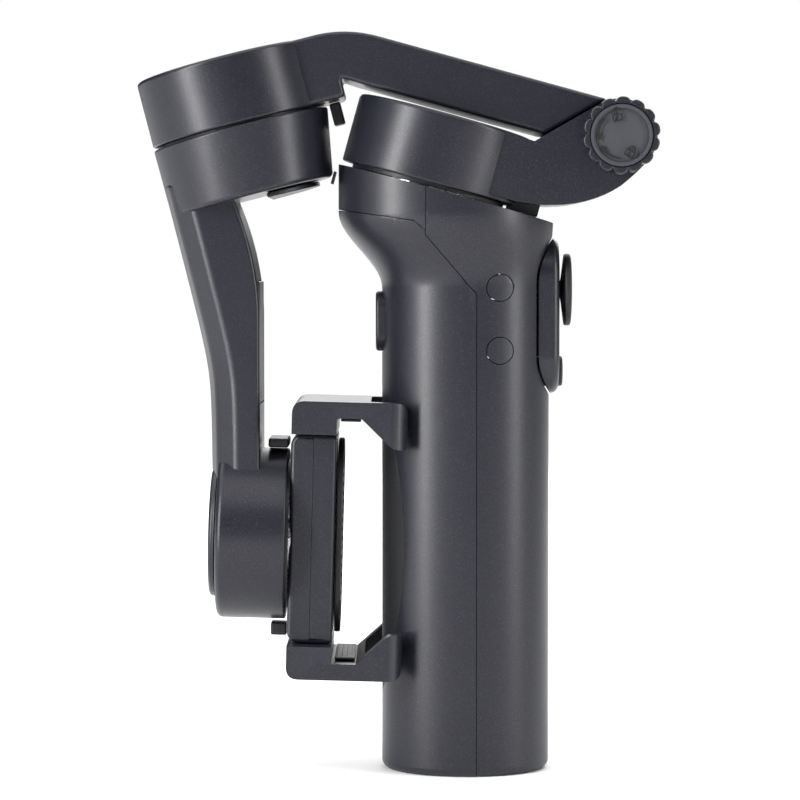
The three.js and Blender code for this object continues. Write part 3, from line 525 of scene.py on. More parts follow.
# %% The grip's surface
WALL = 2.2
NECK = (115.5, 133.5)
HALF_WIDTH = 20
HALF_DEPTH = 17
NECK_GROWTH = (10.4, 1, 4.2)
FOOT_FILLET = 2
OVAL_SIDES = 144
FOOT_STEPS = 6
SHELL_TOP = 153
BASE_INSET = 3.4
BASE_TOP = 6.01


def oval(z, grow):
    t = min(1, max(0, (z - NECK[0]) / (NECK[1] - NECK[0])))
    t = t * t * (3 - 2 * t)
    back = HALF_WIDTH + NECK_GROWTH[0] * t + grow
    front = HALF_WIDTH + NECK_GROWTH[1] * t + grow
    side = HALF_DEPTH + NECK_GROWTH[2] * t + grow
    ring = []
    for i in range(OVAL_SIDES):
        a = 2 * math.pi * i / OVAL_SIDES
        ring.append(((back + front) / 2 * math.cos(a) + (front - back) / 2, side * math.sin(a), z))
    return ring


def grip(grow, low, high, fillet=0.0):
    rings = []
    for i in range(FOOT_STEPS + 1 if fillet else 0):
        a = math.pi / 2 * i / FOOT_STEPS
        rings.append(oval(low + fillet * (1 - math.cos(a)), grow - fillet * (1 - math.sin(a))))
    levels = [low + fillet] if not fillet else []
    levels += [z for z in range(12, int(NECK[0]), 12) if low < z < high]
    steps = 22
    neck_levels = (NECK[0] + (NECK[1] - NECK[0]) * i / steps for i in range(steps + 1))
    levels += [z for z in neck_levels if low < z < high]
    rings += [oval(z, grow) for z in levels + [high]]
    return rings_to_object("grip", rings)


FAR = 60
DECK_CUT = moved(block(-FAR, FAR, -FAR, FAR, -0.9, FAR), PAN)
shell = cut(grip(0, 0, SHELL_TOP, FOOT_FILLET), DECK_CUT)
shell = cut(shell, grip(-WALL, 6, 155), grip(-BASE_INSET, -1, BASE_TOP))
print("hollow grip:", len(shell.data.polygons), "faces")

# %% [markdown]
# Everything that sits in the shells gets its opening now, before they are split: the long pad at the
# back, the control panel, the trigger and the four screw plugs. Each opening is a little larger than
# its piece, so a fine dark gap runs round it, as on the moulded part.

# %% Openings in the grip
GAP = 0.3


def stadium(half_width, low, high, steps=20):
    """Upright outline with round ends, in a plane across X."""
    top = arc(0, high - half_width, half_width, 0, 180, steps)
    return top + arc(0, low + half_width, half_width, 180, 360, steps)


PANEL = (9.2, 90.2, 127.4)
PANEL_FACE = 22.2
STICK_Z = 115
BUTTON_Z = 95.5
TRIGGER = (4.2, 7.2, 107.5)
PAD = (54.7, 36, 11.3)
PLUG_X = 7.8
PLUG_HEIGHTS = (100.8, 115.6)
PLUG_R = 3.1


def trigger_outline(grow):
    half, tall, z = TRIGGER
    return stadium(half + grow, z - tall - grow, z + tall + grow)


def pad_outline(grow):
    z, tall, wide = PAD
    points = (2 * math.pi * i / 72 for i in range(72))
    return [((wide + grow) * math.cos(a), z + (tall + grow) * math.sin(a)) for a in points]


pad_room = cut(prism(pad_outline(GAP), -FAR, -10, "yz"), grip(-1.2 - GAP, -1, 140))
panel_room = prism(stadium(PANEL[0] + GAP, PANEL[1] - GAP, PANEL[2] + GAP), 10, FAR, "yz")
shell = cut(shell, pad_room, panel_room, prism(trigger_outline(GAP), -FAR, -10, "yz"))
for height in PLUG_HEIGHTS:
    shell = cut(shell, shifted(rod(PLUG_R + 0.2, -FAR, FAR, "y", 64), x=PLUG_X, z=height))
print("opened grip:", len(shell.data.polygons), "faces")

# %% [markdown]
# The shells meet on a straight seam that turns diagonally to the collar round the motor deck. Each
# shell is the grip kept inside its region, and a small bevel on the cut edges makes the seams catch
# the light.

# %% Shells, collar, plugs and pad
REGIONS = {
    "front_shell": [(2.38, -1), (FAR, -1), (FAR, SHELL_TOP), (-9.62, SHELL_TOP), (-9.62, 127.95),
                    (2.38, 114.05)],
    "rear_shell": [(-FAR, -1), (2.22, -1), (2.22, 113.95), (-9.78, 127.85), (-9.78, 128.9), (-12.4, 131.2),
                   (-FAR, 138.4)],
    "rear_collar": [(-9.78, 129.1), (-12.4, 131.4), (-FAR, 138.6), (-FAR, SHELL_TOP), (-9.78, SHELL_TOP)],
}
for name, region in REGIONS.items():
    made = common(copy_of(shell), prism(region, -FAR, FAR))
    place_piece(name, rounded(tidied(made), 0.22, 2, 40), satin, name)
bpy.data.objects.remove(shell)

for height, level in zip(PLUG_HEIGHTS, ("lower", "upper")):
    for side, where in ((-1, "near"), (1, "far")):
        low, high = sorted((13.2 * side, FAR * side))
        plug = shifted(rod(PLUG_R, low, high, "y", 64), x=PLUG_X, z=height)
        plug = rounded(tidied(common(plug, grip(-0.06, 60, 140))), 0.25, 2, 50)
        name = f"screw_plug_{level}_{where}"
        place_piece(name, plug, satin, name)

pad = common(prism(pad_outline(0), -FAR, -10, "yz"), cut(grip(-0.02, 5, 112), grip(-1.2, 4, 113)))
place_piece("rear_grip_pad", rounded(tidied(pad), 0.3, 2, 50), soft, "rear_grip_pad")

# %% [markdown]
# Each motor is a can with a knife-thin seam where it turns. The can is a turned shape: its outer edges
# have true radii drawn into the profile, and a second turned shape hollows it from the seam side.

# %% Motor cans
MOTOR_R = 21.35
CAN_WALL = 2.4
SEAM_EDGE = 0.5
SHAFT_R = 2.8
SHAFT_ROOM = 3.1
ROLL_SEAM = 7.6


def can(height, radius, hub, hub_low, end=None, edge=1.0):
    end = end or radius
    rim = arc(end - edge, height - edge, edge, 0, 90, 8)
    seam = arc(radius - SEAM_EDGE, GAP + SEAM_EDGE, SEAM_EDGE, -90, 0, 5)
    outer = turned([(0, GAP), (radius - SEAM_EDGE, GAP), *seam[1:], *rim, (0, height)])
    return join(cut(outer, can_hollow(height, radius, end)), rod(hub, hub_low, height - 1))


def can_hollow(height, radius, end=None):
    floor = height - CAN_WALL
    return turned([(0, -1), (radius - CAN_WALL, -1), ((end or radius) - CAN_WALL, floor), (0, floor)])


# %% [markdown]
# A lip inside each can covers the seam, so nobody looks through the gap onto the coils. It rides with
# one side of its motor and clears the other side's wall.

# %% Seam lips
def seam_lip(radius, low, high, matrix, body, name):
    ring = cut(rod(radius, low, high, sides=128), rod(radius - 0.7, low - 1, high + 1, sides=128))
    place_piece(name, rounded(ring, 0.1, 1, 50), trim, matrix=matrix, body=body)


LIP_R = MOTOR_R - CAN_WALL - GAP
seam_lip(LIP_R, -0.6, 2.5, PAN, "pan_arm", "pan_seam_lip")
seam_lip(LIP_R, -1.6, 2.5, TILT, "upper_arm", "tilt_seam_lip")
ROLL_LIP_R = 17.8
at_seam = ROLL @ Matrix.Translation((ROLL_SEAM, 0, 0)) @ Matrix.Rotation(math.pi / 2, 4, "Y")
seam_lip(ROLL_LIP_R, -1.6, 0.34, at_seam, "clamp", "roll_seam_lip")

# %% [markdown]
# The pan arm starts as the cap over the pan motor and runs out to the knuckle of the fold joint. Its
# side view is one outline of lines and curves; the slot for the folding arm's tongue splits the
# knuckle into two cheeks.

# %% Pan arm
KNUCKLE_R = 8.9
TONGUE_R = 8
CHEEK_IN = 9.9
CHEEK_OUT = 16
PAN_CAP = 16.8
ARM_LOW = 18.5
ARM_HIGH = 30.4
FOLD_U = FOLD.x
FOLD_W = FOLD.z
BOLT_R = 3


def rod_at_fold(radius, low, high, sides=96):
    return shifted(rod(radius, low, high, "y", sides), x=FOLD_U, z=FOLD_W)


def pan_arm_outline():
    reach = KNUCKLE_R * math.sqrt(0.5)
    knee = (43.6, 11.4)
    tip = (FOLD_U + KNUCKLE_R, FOLD_W)
    points = [(8, 1.4), *bend((21, 1.4), (36, 2.6), knee), *bend(knee, (FOLD_U + KNUCKLE_R, 19), tip)[1:-1]]
    points += arc(FOLD_U, FOLD_W, KNUCKLE_R, 0, 135, 24)
    return points + [(FOLD_U - reach - 12.6, FOLD_W + reach - 12.6), (8, PAN_CAP)]


arm = prism(pan_arm_outline(), -CHEEK_OUT, CHEEK_OUT)
arm = cut(arm, rod_at_fold(TONGUE_R + 0.8, -CHEEK_IN, CHEEK_IN),
          block(8, FOLD_U, -CHEEK_IN, CHEEK_IN, ARM_LOW - 0.5, FAR),
          block(FOLD_U, FOLD_U + 20, -CHEEK_IN, CHEEK_IN, FOLD_W - TONGUE_R - 0.8, FAR),
          block(-FAR, 20.4, -FAR, FAR, ARM_LOW - 0.5, FAR),
          can_hollow(PAN_CAP, MOTOR_R), rod_at_fold(BOLT_R + GAP, -FAR, FAR))
arm = rounded(tidied(arm), 0.9, 4, 35)
cap = can(PAN_CAP, MOTOR_R, 6.5, 1.5)
arm = join(cap, arm, block(19.5, 27, -5, 5, -0.5, 3))
arm = cut(arm, rod(SHAFT_R, -1, 7.4), block(17, 30, -11, 11, 4.2, 13))
place_piece("pan_arm", tidied(arm), satin, "pan_arm", matrix=PAN)

# %% [markdown]
# The fold joint is clamped by a steel bolt and a knob. The bolt's head gets a hexagonal socket. The
# knob's fourteen grip lobes follow a cosine curve; its face is sunk to take a disc, and its outer rim
# is round.

# %% Fold bolt and lock knob
KNOB_R = 8.95
KNOB_IN = -16.4
KNOB_OUT = -23.6
LOBES = 14
LOBE_DEPTH = 1.0
HEX_R = 2.9
HEAD_R = 6.5


def knob_ring(y, inset):
    ring = []
    for i in range(LOBES * 20):
        a = 2 * math.pi * i / (LOBES * 20)
        r = KNOB_R + 0.05 - inset - LOBE_DEPTH * (1 - abs(math.cos(LOBES * a / 2))) ** 1.6
        ring.append((FOLD_U + r * math.cos(a), y, FOLD_W + r * math.sin(a)))
    return ring


sixths = (math.pi / 3 * i for i in range(6))
hexagon = [(FOLD_U + HEX_R * math.cos(a), FOLD_W + HEX_R * math.sin(a)) for a in sixths]
head = rounded(rod_at_fold(HEAD_R, 16.4, 19, 64), 0.5, 3, 50)
bolt = cut(join(rod_at_fold(BOLT_R, -20, 16.8, 48), head), prism(hexagon, 17.2, 20))
place_piece("fold_bolt", bolt, blued, "fold_bolt", matrix=PAN)

edge = 0.5
rim = [(KNOB_IN, 0.5), (KNOB_IN - 0.5, 0), (KNOB_OUT + edge, 0)]
rim += [(KNOB_OUT + edge - edge * math.sin(t), edge - edge * math.cos(t)) for t in (0.4, 0.8, 1.2, math.pi / 2)]
knob = rings_to_object("knob", [knob_ring(y, inset) for y, inset in rim])
knob = cut(knob, rod_at_fold(7.5, -FAR, KNOB_OUT + 1.1, 128), rod_at_fold(BOLT_R + GAP, -20.4, FAR, 48))
place_piece("lock_knob", knob, satin, "lock_knob", matrix=PAN)

# %% [markdown]
# The knob's disc shows which way it locks: an open and a closed padlock, and two bent arrows. They
# are thin raised shapes, so each sign stays crisp from any side. A ring groove is turned into the
# disc close to its rim.

# %% Knob disc and its signs
CAP_LOW = KNOB_OUT + 0.2
CAP_HIGH = KNOB_OUT + 0.8
SIGN_DEPTH = 0.1
SIGN_R = 5.4


def sign_arc(radius, start, end, width=0.36, head_size=0.95):
    """A bent arrow: a curved bar with a triangle at its end, drawn about the knob's centre."""
    turn = 1 if end > start else -1
    bar = arc(0, 0, radius + width / 2, start, end, 14) + arc(0, 0, radius - width / 2, end, start, 14)
    a = math.radians(end)
    tip = math.radians(end + turn * 17)
    point = (radius * math.cos(tip), radius * math.sin(tip))
    wide = [((radius + s * head_size) * math.cos(a), (radius + s * head_size) * math.sin(a)) for s in (1, -1)]
    return [bar, [wide[0], point, wide[1]]]


def padlock(x, z, turn, lift):
    """A padlock drawn in lines, turned by some degrees; the open one's shackle is lifted."""
    line = 0.28
    frame_lines = [[(-1.2, -1.2), (1.2, -1.2), (1.2, -1.2 + line), (-1.2, -1.2 + line)],
                   [(-1.2, 0.5 - line), (1.2, 0.5 - line), (1.2, 0.5), (-1.2, 0.5)],
                   [(-1.2, -1.2), (-1.2 + line, -1.2), (-1.2 + line, 0.5), (-1.2, 0.5)],
                   [(1.2 - line, -1.2), (1.2, -1.2), (1.2, 0.5), (1.2 - line, 0.5)]]
    outer = arc(0, 0.75 + lift, 0.85, 0, 180, 10)
    inner = arc(0, 0.75 + lift, 0.85 - line, 180, 0, 10)
    foot = 0.3 + lift * 1.3
    shackle = outer + [(-0.85, 0.3), (line - 0.85, 0.3)] + inner + [(0.85 - line, foot), (0.85, foot)]
    c, q = math.cos(math.radians(turn)), math.sin(math.radians(turn))
    return [[(x + c * u - q * v, z + q * u + c * v) for u, v in outline] for outline in (*frame_lines, shackle)]


def knob_signs():
    shapes = sign_arc(SIGN_R, 148, 192) + sign_arc(SIGN_R, 282, 238)
    shapes += padlock(-2.2, 4.0, 24, 0.5) + padlock(3.0, -3.3, -18, 0)
    made = None
    for outline in shapes:
        flat = prism([(FOLD_U + x, FOLD_W + z) for x, z in outline], CAP_LOW - SIGN_DEPTH + 0.02, CAP_LOW + 0.1)
        made = join(made, flat) if made else flat
    return made


cap = rod_at_fold(7.2, CAP_LOW, CAP_HIGH, 128)
groove = cut(rod_at_fold(6.5, CAP_LOW - 1, CAP_LOW + 0.14, 96), rod_at_fold(6.2, CAP_LOW - 2, CAP_HIGH, 96))
cap = rounded(tidied(cut(cap, groove)), 0.12, 2, 50)
place_piece("knob_cap", cap, disc_grey, "knob_cap", matrix=PAN)
place_piece("knob_signs", knob_signs(), icon, matrix=PAN, body="lock_knob")

# %% [markdown]
# The folding arm joins the tilt motor's can to the fold joint through a thick bent elbow. The bar and
# the elbow are one side outline, drawn partly in the pan frame and partly in the tilt frame.

# %% Folding upper arm
ARM_HALF = 12
TILT_TOP = 16.3
TONGUE_HALF = 9.5
COVER = (-18, 26, 9, 1.0)
TOP_DROP = 0.08
ELBOW_U = -20.6
CAN_REACH = 26.2


def at_frame(matrix, u, w):
    point = matrix @ Vector((u, 0, w))
    return (point.x, point.z)


def tongue_outline():
    """From the arm's top over the round tongue to its underside, in the pan frame."""
    end = -180 + math.degrees(math.asin((FOLD_W - ARM_LOW) / TONGUE_R))
    return arc(FOLD_U, FOLD_W, TONGUE_R, 90, end, 32)


def beside_cheek(clear):
    """The room of a cheek: all that lies on its side of a 45-degree line clear of the fold axis."""
    low = FOLD_U - clear * math.sqrt(2) - FOLD_W
    return [(low, 0), (low + FAR, FAR), (2 * FAR, FAR), (2 * FAR, 0)]


def upper_arm_outline():
    start = at_frame(TILT, 22, TILT_TOP - TOP_DROP)
    end = at_frame(PAN, ELBOW_U, ARM_HIGH)
    lean = math.atan2(pan_axis.x, pan_axis.z)
    turn = (lean + math.atan2(-tilt_axis.x, tilt_axis.z)) / 2
    reach = math.dist(start, end) / 2 / math.cos(turn)
    corner = (end[0] - reach * math.cos(lean), end[1] + reach * math.sin(lean))
    tongue = [at_frame(PAN, u, w) for u, w in tongue_outline()]
    inside = [at_frame(PAN, ELBOW_U, ARM_LOW), at_frame(PAN, -22.2, ARM_LOW), at_frame(TILT, CAN_REACH, 5)]
    foot = [at_frame(TILT, CAN_REACH, 0.4), at_frame(TILT, 0, 0.4)]
    top = at_frame(TILT, 0, TILT_TOP - TOP_DROP)
    return [top, *bend(start, corner, end, 14), *tongue, *inside, *foot]


def cover_room(grow, deep):
    left, right, half, thick = COVER
    return block(left - grow, right + grow, -half - grow, half + grow, ARM_HIGH - thick - grow, deep)


strip = prism(upper_arm_outline(), -ARM_HALF, ARM_HALF)
for low, high in ((TONGUE_HALF, FAR), (-FAR, -TONGUE_HALF)):
    strip = cut(strip, moved(prism(beside_cheek(KNUCKLE_R + GAP), low, high), PAN))
strip = rounded(tidied(strip), 1.1, 4, 35)
strip = cut(strip, moved(cover_room(0.2, FAR), PAN), moved(block(-16, 22, -6, 6, ARM_LOW + 2.4, FAR), PAN),
            moved(rod_at_fold(BOLT_R + GAP, -FAR, FAR), PAN), moved(can_hollow(TILT_TOP, MOTOR_R), TILT))
disc = cut(can(TILT_TOP, MOTOR_R, 10, 8.6), rod(SHAFT_ROOM, 0, 9.8))
arm = join(moved(disc, TILT), strip)
place_piece("upper_arm", tidied(arm), satin, "upper_arm")
place_piece("arm_cover", rounded(cover_room(0, ARM_HIGH), 0.3, 3), satin, "arm_cover", matrix=PAN)
stop = rounded(block(21.9, 24.6, -3, 3, -5.3, 0.1), 0.5, 3)
place_piece("tilt_stop", stop, trim, "tilt_stop", matrix=TILT)

# %% [markdown]
# The tilt arm hangs from the tilt motor and carries the roll motor. Its long strip is lofted from
# eight-sided sections with soft corners: the outer face runs on from the can's side and bends
# upright, the inner face leans back near the top. Both faces are given by height.

# %% Tilt arm strip
TILT_LOW = 16.7
TILT_END_R = 19.97
ARM_OUTER = -60.4
ARM_INNER = -48.8
ARM_DEEP = 13
ROLL_R = 20.5
ROLL_BACK = -9.2
LEAN = math.atan2(-tilt_axis.x, tilt_axis.z)


def arm_outer(z):
    x0, z0 = at_frame(TILT, 0.4 - MOTOR_R, -TILT_LOW)
    past = ARM_OUTER - (x0 + (z0 - z) * math.tan(LEAN))
    return ARM_OUTER - (past + math.hypot(past, 2)) / 2


def arm_inner(z):
    return ARM_INNER - 4.1 * max(0, (z - 108) / 23.5) ** 2


def strip_ring(z):
    outer, inner = arm_outer(z), arm_inner(z)
    half = [(inner, 1), (outer + 6, 1), (outer + 1.5, 0.72), (outer, 0.3)]
    section = half + [(x, -side) for x, side in reversed(half)]
    return [(x, side * ARM_DEEP, z) for x, side in section]


strip = rings_to_object("strip", [strip_ring(66 + 74 * i / 40) for i in range(41)])
strip = rounded(strip, 1.0, 4, 25)

# %% Tilt arm, with both motor cans
UPSIDE = Matrix.Rotation(math.pi, 4, "X")
SKEW = Matrix(((1, 0, -(MOTOR_R - TILT_END_R) / TILT_LOW, 0), (0, 1, 0, 0), (0, 0, 1, 0), (0, 0, 0, 1)))
TO_ROLL = Matrix.Translation((ROLL_SEAM, 0, 0)) @ Matrix.Rotation(-math.pi / 2, 4, "Y")


def under_tilt(made):
    """Stands a can upside down in the tilt frame, with its arm side kept straight."""
    return moved(made, TILT @ SKEW.inverted() @ UPSIDE)


below = under_tilt(can(TILT_LOW, MOTOR_R, 8, 1.5, TILT_END_R, 1.2))
depth = ROLL_SEAM - ROLL_BACK
housing = moved(cut(can(depth, ROLL_R, 10, 8.6, edge=1.6), rod(SHAFT_ROOM, 0, 9.8)), ROLL @ TO_ROLL)
window = block(ARM_INNER - 1.2, ARM_INNER + 1, -10.2, 10.2, 87.8, 117.2)
strip = cut(strip, window, block(ARM_OUTER + 3.4, ARM_INNER, -8, 8, 90, 113),
            moved(can_hollow(depth, ROLL_R), ROLL @ TO_ROLL),
            under_tilt(can_hollow(TILT_LOW, MOTOR_R, TILT_END_R)))
tilt_arm = join(cut(below, moved(rod(SHAFT_R, -7.4, 1), TILT)), housing, strip)
tilt_arm = cut(tilt_arm, moved(rod(16, ROLL_BACK - 4, ROLL_BACK, "x"), ROLL))
place_piece("tilt_arm", tidied(tilt_arm), satin, "tilt_arm")
cover = rounded(block(ARM_INNER - 1, ARM_INNER, -10, 10, 88, 117), 0.35, 3)
place_piece("tilt_arm_cover", cover, trim, "tilt_arm_cover")
plate = common(rod(15, -TILT_LOW - 1.4, -TILT_LOW - GAP), block(2.6, FAR, -FAR, FAR, -FAR, 0))
place_piece("tilt_motor_plate", rounded(tidied(plate), 0.4, 3, 50), trim, "tilt_motor_plate", matrix=TILT)

DOME = [(0, -GAP), (15.3, -GAP), (15.6, -0.5), *arc(14.4, -0.8, 1.1, 0, -70, 6), (11, -2.02), (6, -2.16),
        (0, -2.2)]
dome = shifted(turned(DOME, axis="x"), x=ROLL_BACK)
dome_groove = cut(rod(12.2, -FAR, ROLL_BACK - 1.62, "x"), rod(11.8, -FAR, FAR, "x"))
place_piece("roll_end_cap", tidied(cut(dome, dome_groove)), satin, "roll_end_cap", matrix=ROLL)
place_piece("roll_tab", rounded(block(2.4, 7.2, -7, 7, 21, 23.2), 0.5, 3), trim, "roll_tab", matrix=ROLL)

# %% [markdown]
# The clamp is a bar split into a back and a front moulding, a soft pad for the phone's back, and two
# jaws that slide on rods. One outline makes both jaws: the lower one is the upper one turned over.

# %% Clamp bar and pads
BAR = (8, 13.4, 18.8, 24.7, 14)
RACK_ROOM = (13.5, 16.7, 4.45, 7.5)
RACK_LOW = -18
ROD_AT = {"x": 15.2, "y": -9.7}
ROD_ROOM_R = 1.6
ROD_LOW = -20.5
back, split, front, tall, side = BAR
bar = prism([(back + 1.5, -tall), (front, -tall), (front, tall), (back + 1.5, tall), (back, tall - 1.5),
             (back, 1.5 - tall)], -side, side)
bar = rounded(bar, 1.5, 5, 35)
face = common(copy_of(bar), block(split + 0.04, FAR, -FAR, FAR, -FAR, FAR))
cover = common(bar, block(-FAR, split - 0.04, -FAR, FAR, -FAR, FAR))
cover = cut(cover, rod(13.8, 0, back + 1, "x", 64), rod(SHAFT_R, 0, 11.6, "x", 48))
rack_room = block(*RACK_ROOM, RACK_LOW, FAR)
rod_room = shifted(rod(ROD_ROOM_R, ROD_LOW, FAR, "z", 32), **ROD_AT)
pinion_room = rod(5.1, 13.5, 16.7, "x", 48)
rooms = [rack_room, rod_room, moved(copy_of(rack_room), UPSIDE), moved(copy_of(rod_room), UPSIDE),
         pinion_room]
place_piece("clamp_front", tidied(cut(face, *rooms)), satin, "clamp_front", matrix=ROLL)
place_piece("clamp_base", tidied(cover), satin, "clamp_base", matrix=ROLL)
stop = rounded(block(3.8, 7.7, -2.5, 2.5, -24.4, -21.3), 0.5, 3)
place_piece("clamp_stop", stop, trim, "clamp_stop", matrix=ROLL)

# %% [markdown]
# The clamp's three soft pads carry rows of fine ribs. Geometry Nodes lays them: a line of points, a
# flattened bar on each point, all made real at the end. One tree serves every pad, each with its own
# count, pitch, length and thickness, and its result is taken out as a plain mesh.

# %% Rows of ribs with Geometry Nodes
def make_rib_tree():
    tree = bpy.data.node_groups.new("rib_rows", "GeometryNodeTree")
    for label, kind, value in (("Count", "NodeSocketInt", 9), ("Pitch", "NodeSocketFloat", 1.5),
                               ("Length", "NodeSocketFloat", 10.0), ("Radius", "NodeSocketFloat", 0.4),
                               ("Height", "NodeSocketFloat", 0.3), ("Material", "NodeSocketMaterial", None)):
        socket = tree.interface.new_socket(name=label, in_out="INPUT", socket_type=kind)
        if value is not None:
            socket.default_value = value
    tree.interface.new_socket(name="Geometry", in_out="OUTPUT", socket_type="NodeSocketGeometry")
    ins, outs = tree.nodes.new("NodeGroupInput"), tree.nodes.new("NodeGroupOutput")
    line = tree.nodes.new("GeometryNodeMeshLine")
    step = tree.nodes.new("ShaderNodeCombineXYZ")
    bar = tree.nodes.new("GeometryNodeMeshUVSphere")
    bar.inputs["Segments"].default_value = 24
    bar.inputs["Rings"].default_value = 12
    bar.inputs["Radius"].default_value = 1.0
    shape = tree.nodes.new("ShaderNodeCombineXYZ")
    half = add_node(tree, "ShaderNodeMath", {1: 0.5}, operation="MULTIPLY")
    place = tree.nodes.new("GeometryNodeInstanceOnPoints")
    real = tree.nodes.new("GeometryNodeRealizeInstances")
    paint = tree.nodes.new("GeometryNodeSetMaterial")
    for made, to in ((ins.outputs["Count"], line.inputs["Count"]), (ins.outputs["Pitch"], step.inputs["Z"]),
                     (step.outputs[0], line.inputs["Offset"]), (ins.outputs["Length"], half.inputs[0]),
                     (ins.outputs["Height"], shape.inputs["X"]), (half.outputs[0], shape.inputs["Y"]),
                     (ins.outputs["Radius"], shape.inputs["Z"]), (line.outputs["Mesh"], place.inputs["Points"]),
                     (bar.outputs["Mesh"], place.inputs["Instance"]), (shape.outputs[0], place.inputs["Scale"]),
                     (place.outputs[0], real.inputs[0]), (real.outputs[0], paint.inputs["Geometry"]),
                     (ins.outputs["Material"], paint.inputs["Material"]), (paint.outputs[0], outs.inputs[0])):
        tree.links.new(made, to)
    return tree


RIB_TREE = make_rib_tree()


def ribs(count, pitch, length, radius, height, material):
    """Ribs along Y, stacked along Z about the origin, rising towards +X."""
    holder = new_object("ribs", bmesh.new())
    maker = holder.modifiers.new("ribs", "NODES")
    maker.node_group = RIB_TREE
    wanted = {"Count": count, "Pitch": pitch, "Length": length, "Radius": radius, "Height": height,
              "Material": material}
    for item in RIB_TREE.interface.items_tree:
        if item.in_out == "INPUT":
            maker[item.identifier] = wanted[item.name]
    return shifted(applied(holder), z=-pitch * (count - 1) / 2)


def backed(half, low, high, p0, p1, pocket):
    pad = rounded(prism(stadium(half, low, high), p0, p1, "yz"), 0.35, 3)
    return cut(pad, pocket) if pocket else pad


room = rounded(prism(stadium(10.2, -21.6, 21.6), 20.15, 22, "yz"), 0.1, 1)
place_piece("back_pad", backed(12, -23.4, 23.4, 19.1, 20.5, room), soft, "back_pad", matrix=ROLL)
rows = shifted(ribs(15, 2.2, 17.5, 0.62, 0.32, soft), x=20.15)
place_piece("back_pad_ribs", rows, soft, matrix=ROLL, body="clamp")

# %% [markdown]
# A jaw is one outline given depth, with a notch cut through its nose so the closed jaw straddles the
# grip. The lower jaw is the same solid turned over about the roll axis.

# %% Jaws
NOTCH = (26.6, 13.5)
JAW_SIDE = 18.5
JAW_IN = 28.9
JAW_REACH = 35.4
JAW_HOLES_TOP = 29.9


def jaw_outline():
    back, low, outer, reach, corner = 8.2, 25.0, 32.8, JAW_REACH, 3.0
    slope, nose = (24.6, JAW_IN), (31.0, 22.9)
    tip = bend(nose, (31.9, 22.0), (33.0, 21.9), 5) + bend((34.4, 21.7), (reach, 21.8), (reach, 22.8), 5)
    top = bend((reach, outer - corner), (reach, outer), (reach - corner, outer), 8)
    heel = bend((back + corner, outer), (back, outer), (back, outer - corner), 8)
    return [(back, low), (18.8, low), (18.8, JAW_IN), slope, *tip, *top, *heel]


def nose_in_plan(depth, corner, steps=10):
    """The jaw seen from its end: a bar whose two outer corners are round."""
    right = arc(JAW_REACH - corner, depth - corner, corner, 0, 90, steps)
    left = [(x, -y) for x, y in reversed(right)]
    return [(0, depth), (0, -depth), *left, *right]


jaw = common(prism(jaw_outline(), -JAW_SIDE, JAW_SIDE), prism(nose_in_plan(JAW_SIDE, 4.2), 0, FAR, "xy"))
jaw = rounded(tidied(jaw), 1.0, 4, 40)
notch = block(NOTCH[0], FAR, -NOTCH[1], NOTCH[1], 0, FAR)
jaw = rounded(tidied(cut(jaw, notch)), 0.35, 2, 60)
jaw = cut(jaw, block(*RACK_ROOM, RACK_LOW, JAW_HOLES_TOP),
          shifted(rod(ROD_ROOM_R, ROD_LOW, JAW_HOLES_TOP, "z", 32), **ROD_AT))
jaw_pad = rounded(block(19.6, 24.4, -13, 13, JAW_IN - 0.95, JAW_IN - GAP), 0.25, 3)
pad_rows = moved(ribs(4, 1.15, 25, 0.34, 0.25, soft), Matrix.Rotation(math.pi / 2, 4, "Y"))
pad_rows = shifted(pad_rows, x=22, z=JAW_IN - 0.85)
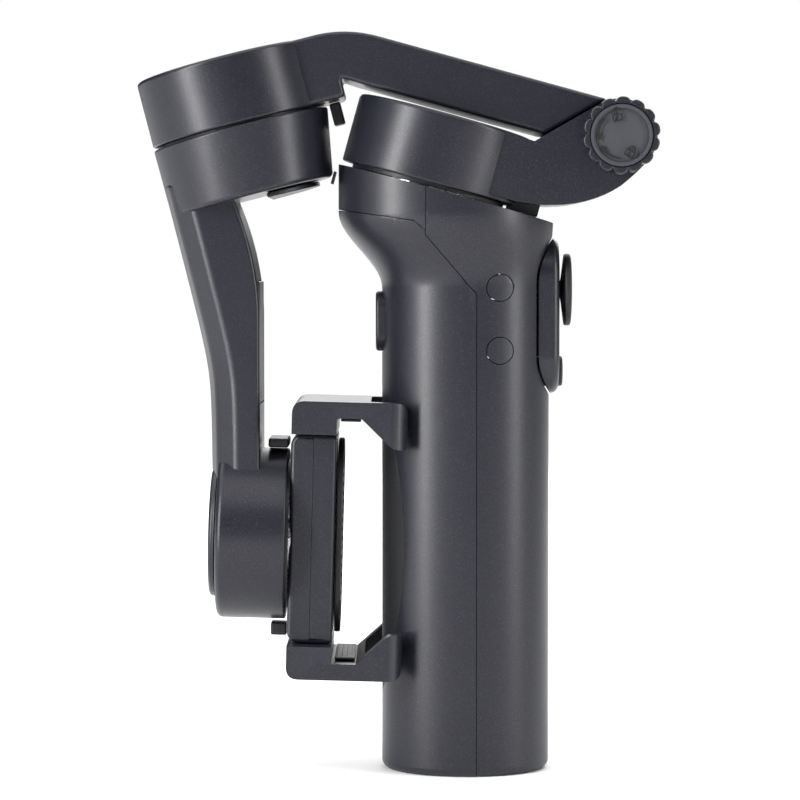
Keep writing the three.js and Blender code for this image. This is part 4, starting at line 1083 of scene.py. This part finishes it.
for level, turn in (("upper", WORLD), ("lower", UPSIDE)):
    place_piece(f"{level}_jaw", moved(copy_of(jaw), turn), satin, f"{level}_jaw", matrix=ROLL)
    place_piece(f"{level}_jaw_pad", moved(copy_of(jaw_pad), turn), soft, f"{level}_jaw_pad", matrix=ROLL)
    rows = moved(copy_of(pad_rows), turn)
    place_piece(f"{level}_jaw_ribs", rows, soft, matrix=ROLL, body=f"{level}_jaw")
for spare in (jaw, jaw_pad, pad_rows):
    bpy.data.objects.remove(spare)

# %% [markdown]
# The control panel stands proud of the grip's front with the joystick above and the record button
# below. The stick's cap is a turned dish with a rolled rim; the button is a soft-edged disc with a
# groove turned into its face; the trigger behind is a round-ended bar with a flange inside the shell.

# %% Control panel, joystick, button and trigger
STICK_HOLE = 5.2
BUTTON_HOLE = 3.9

panel = rounded(prism(stadium(*PANEL), 0, PANEL_FACE, "yz"), 1.9, 6, 50)
panel = cut(panel, grip(GAP, -1, 150))
panel = cut(panel, shifted(rod(STICK_HOLE, 0, FAR, "x"), z=STICK_Z),
            shifted(rod(BUTTON_HOLE, 0, FAR, "x"), z=BUTTON_Z))
place_piece("control_panel", tidied(panel), satin, "control_panel")

STICK = [(0, 14.4), (2, 14.4), (2, 22.6), (3, 22.8), (8.2, 23.5), *arc(8.2, 23.9, 0.4, -80, 0, 4),
         *arc(8.0, 24.5, 0.6, 0, 85, 6), (6.9, 25.08), (6.5, 24.95), (5.2, 24.62), (3.4, 24.4),
         (1.7, 24.3), (0, 24.28)]
stick = shifted(turned(STICK, axis="x"), z=STICK_Z)
place_piece("joystick_cap", stick, soft, "joystick_cap")

BUTTON = [(0, 15.6), (4.6, 15.6), (4.6, 16.6), (3.6, 16.6), (3.6, 22.7), *arc(3.1, 22.7, 0.5, 0, 90, 5),
          (2.4, 23.2), (2.2, 23.05), (1.9, 23.05), (1.7, 23.2), (0, 23.2)]
place_piece("record_button", shifted(turned(BUTTON, 96, "x"), z=BUTTON_Z), soft, "record_button")

trigger = rounded(prism(trigger_outline(0), -21.5, -15.4, "yz"), 0.8, 4, 50)
trigger = join(trigger, prism(trigger_outline(1.3), -15.9, -14.9, "yz"))
place_piece("trigger", trigger, trim, "trigger")
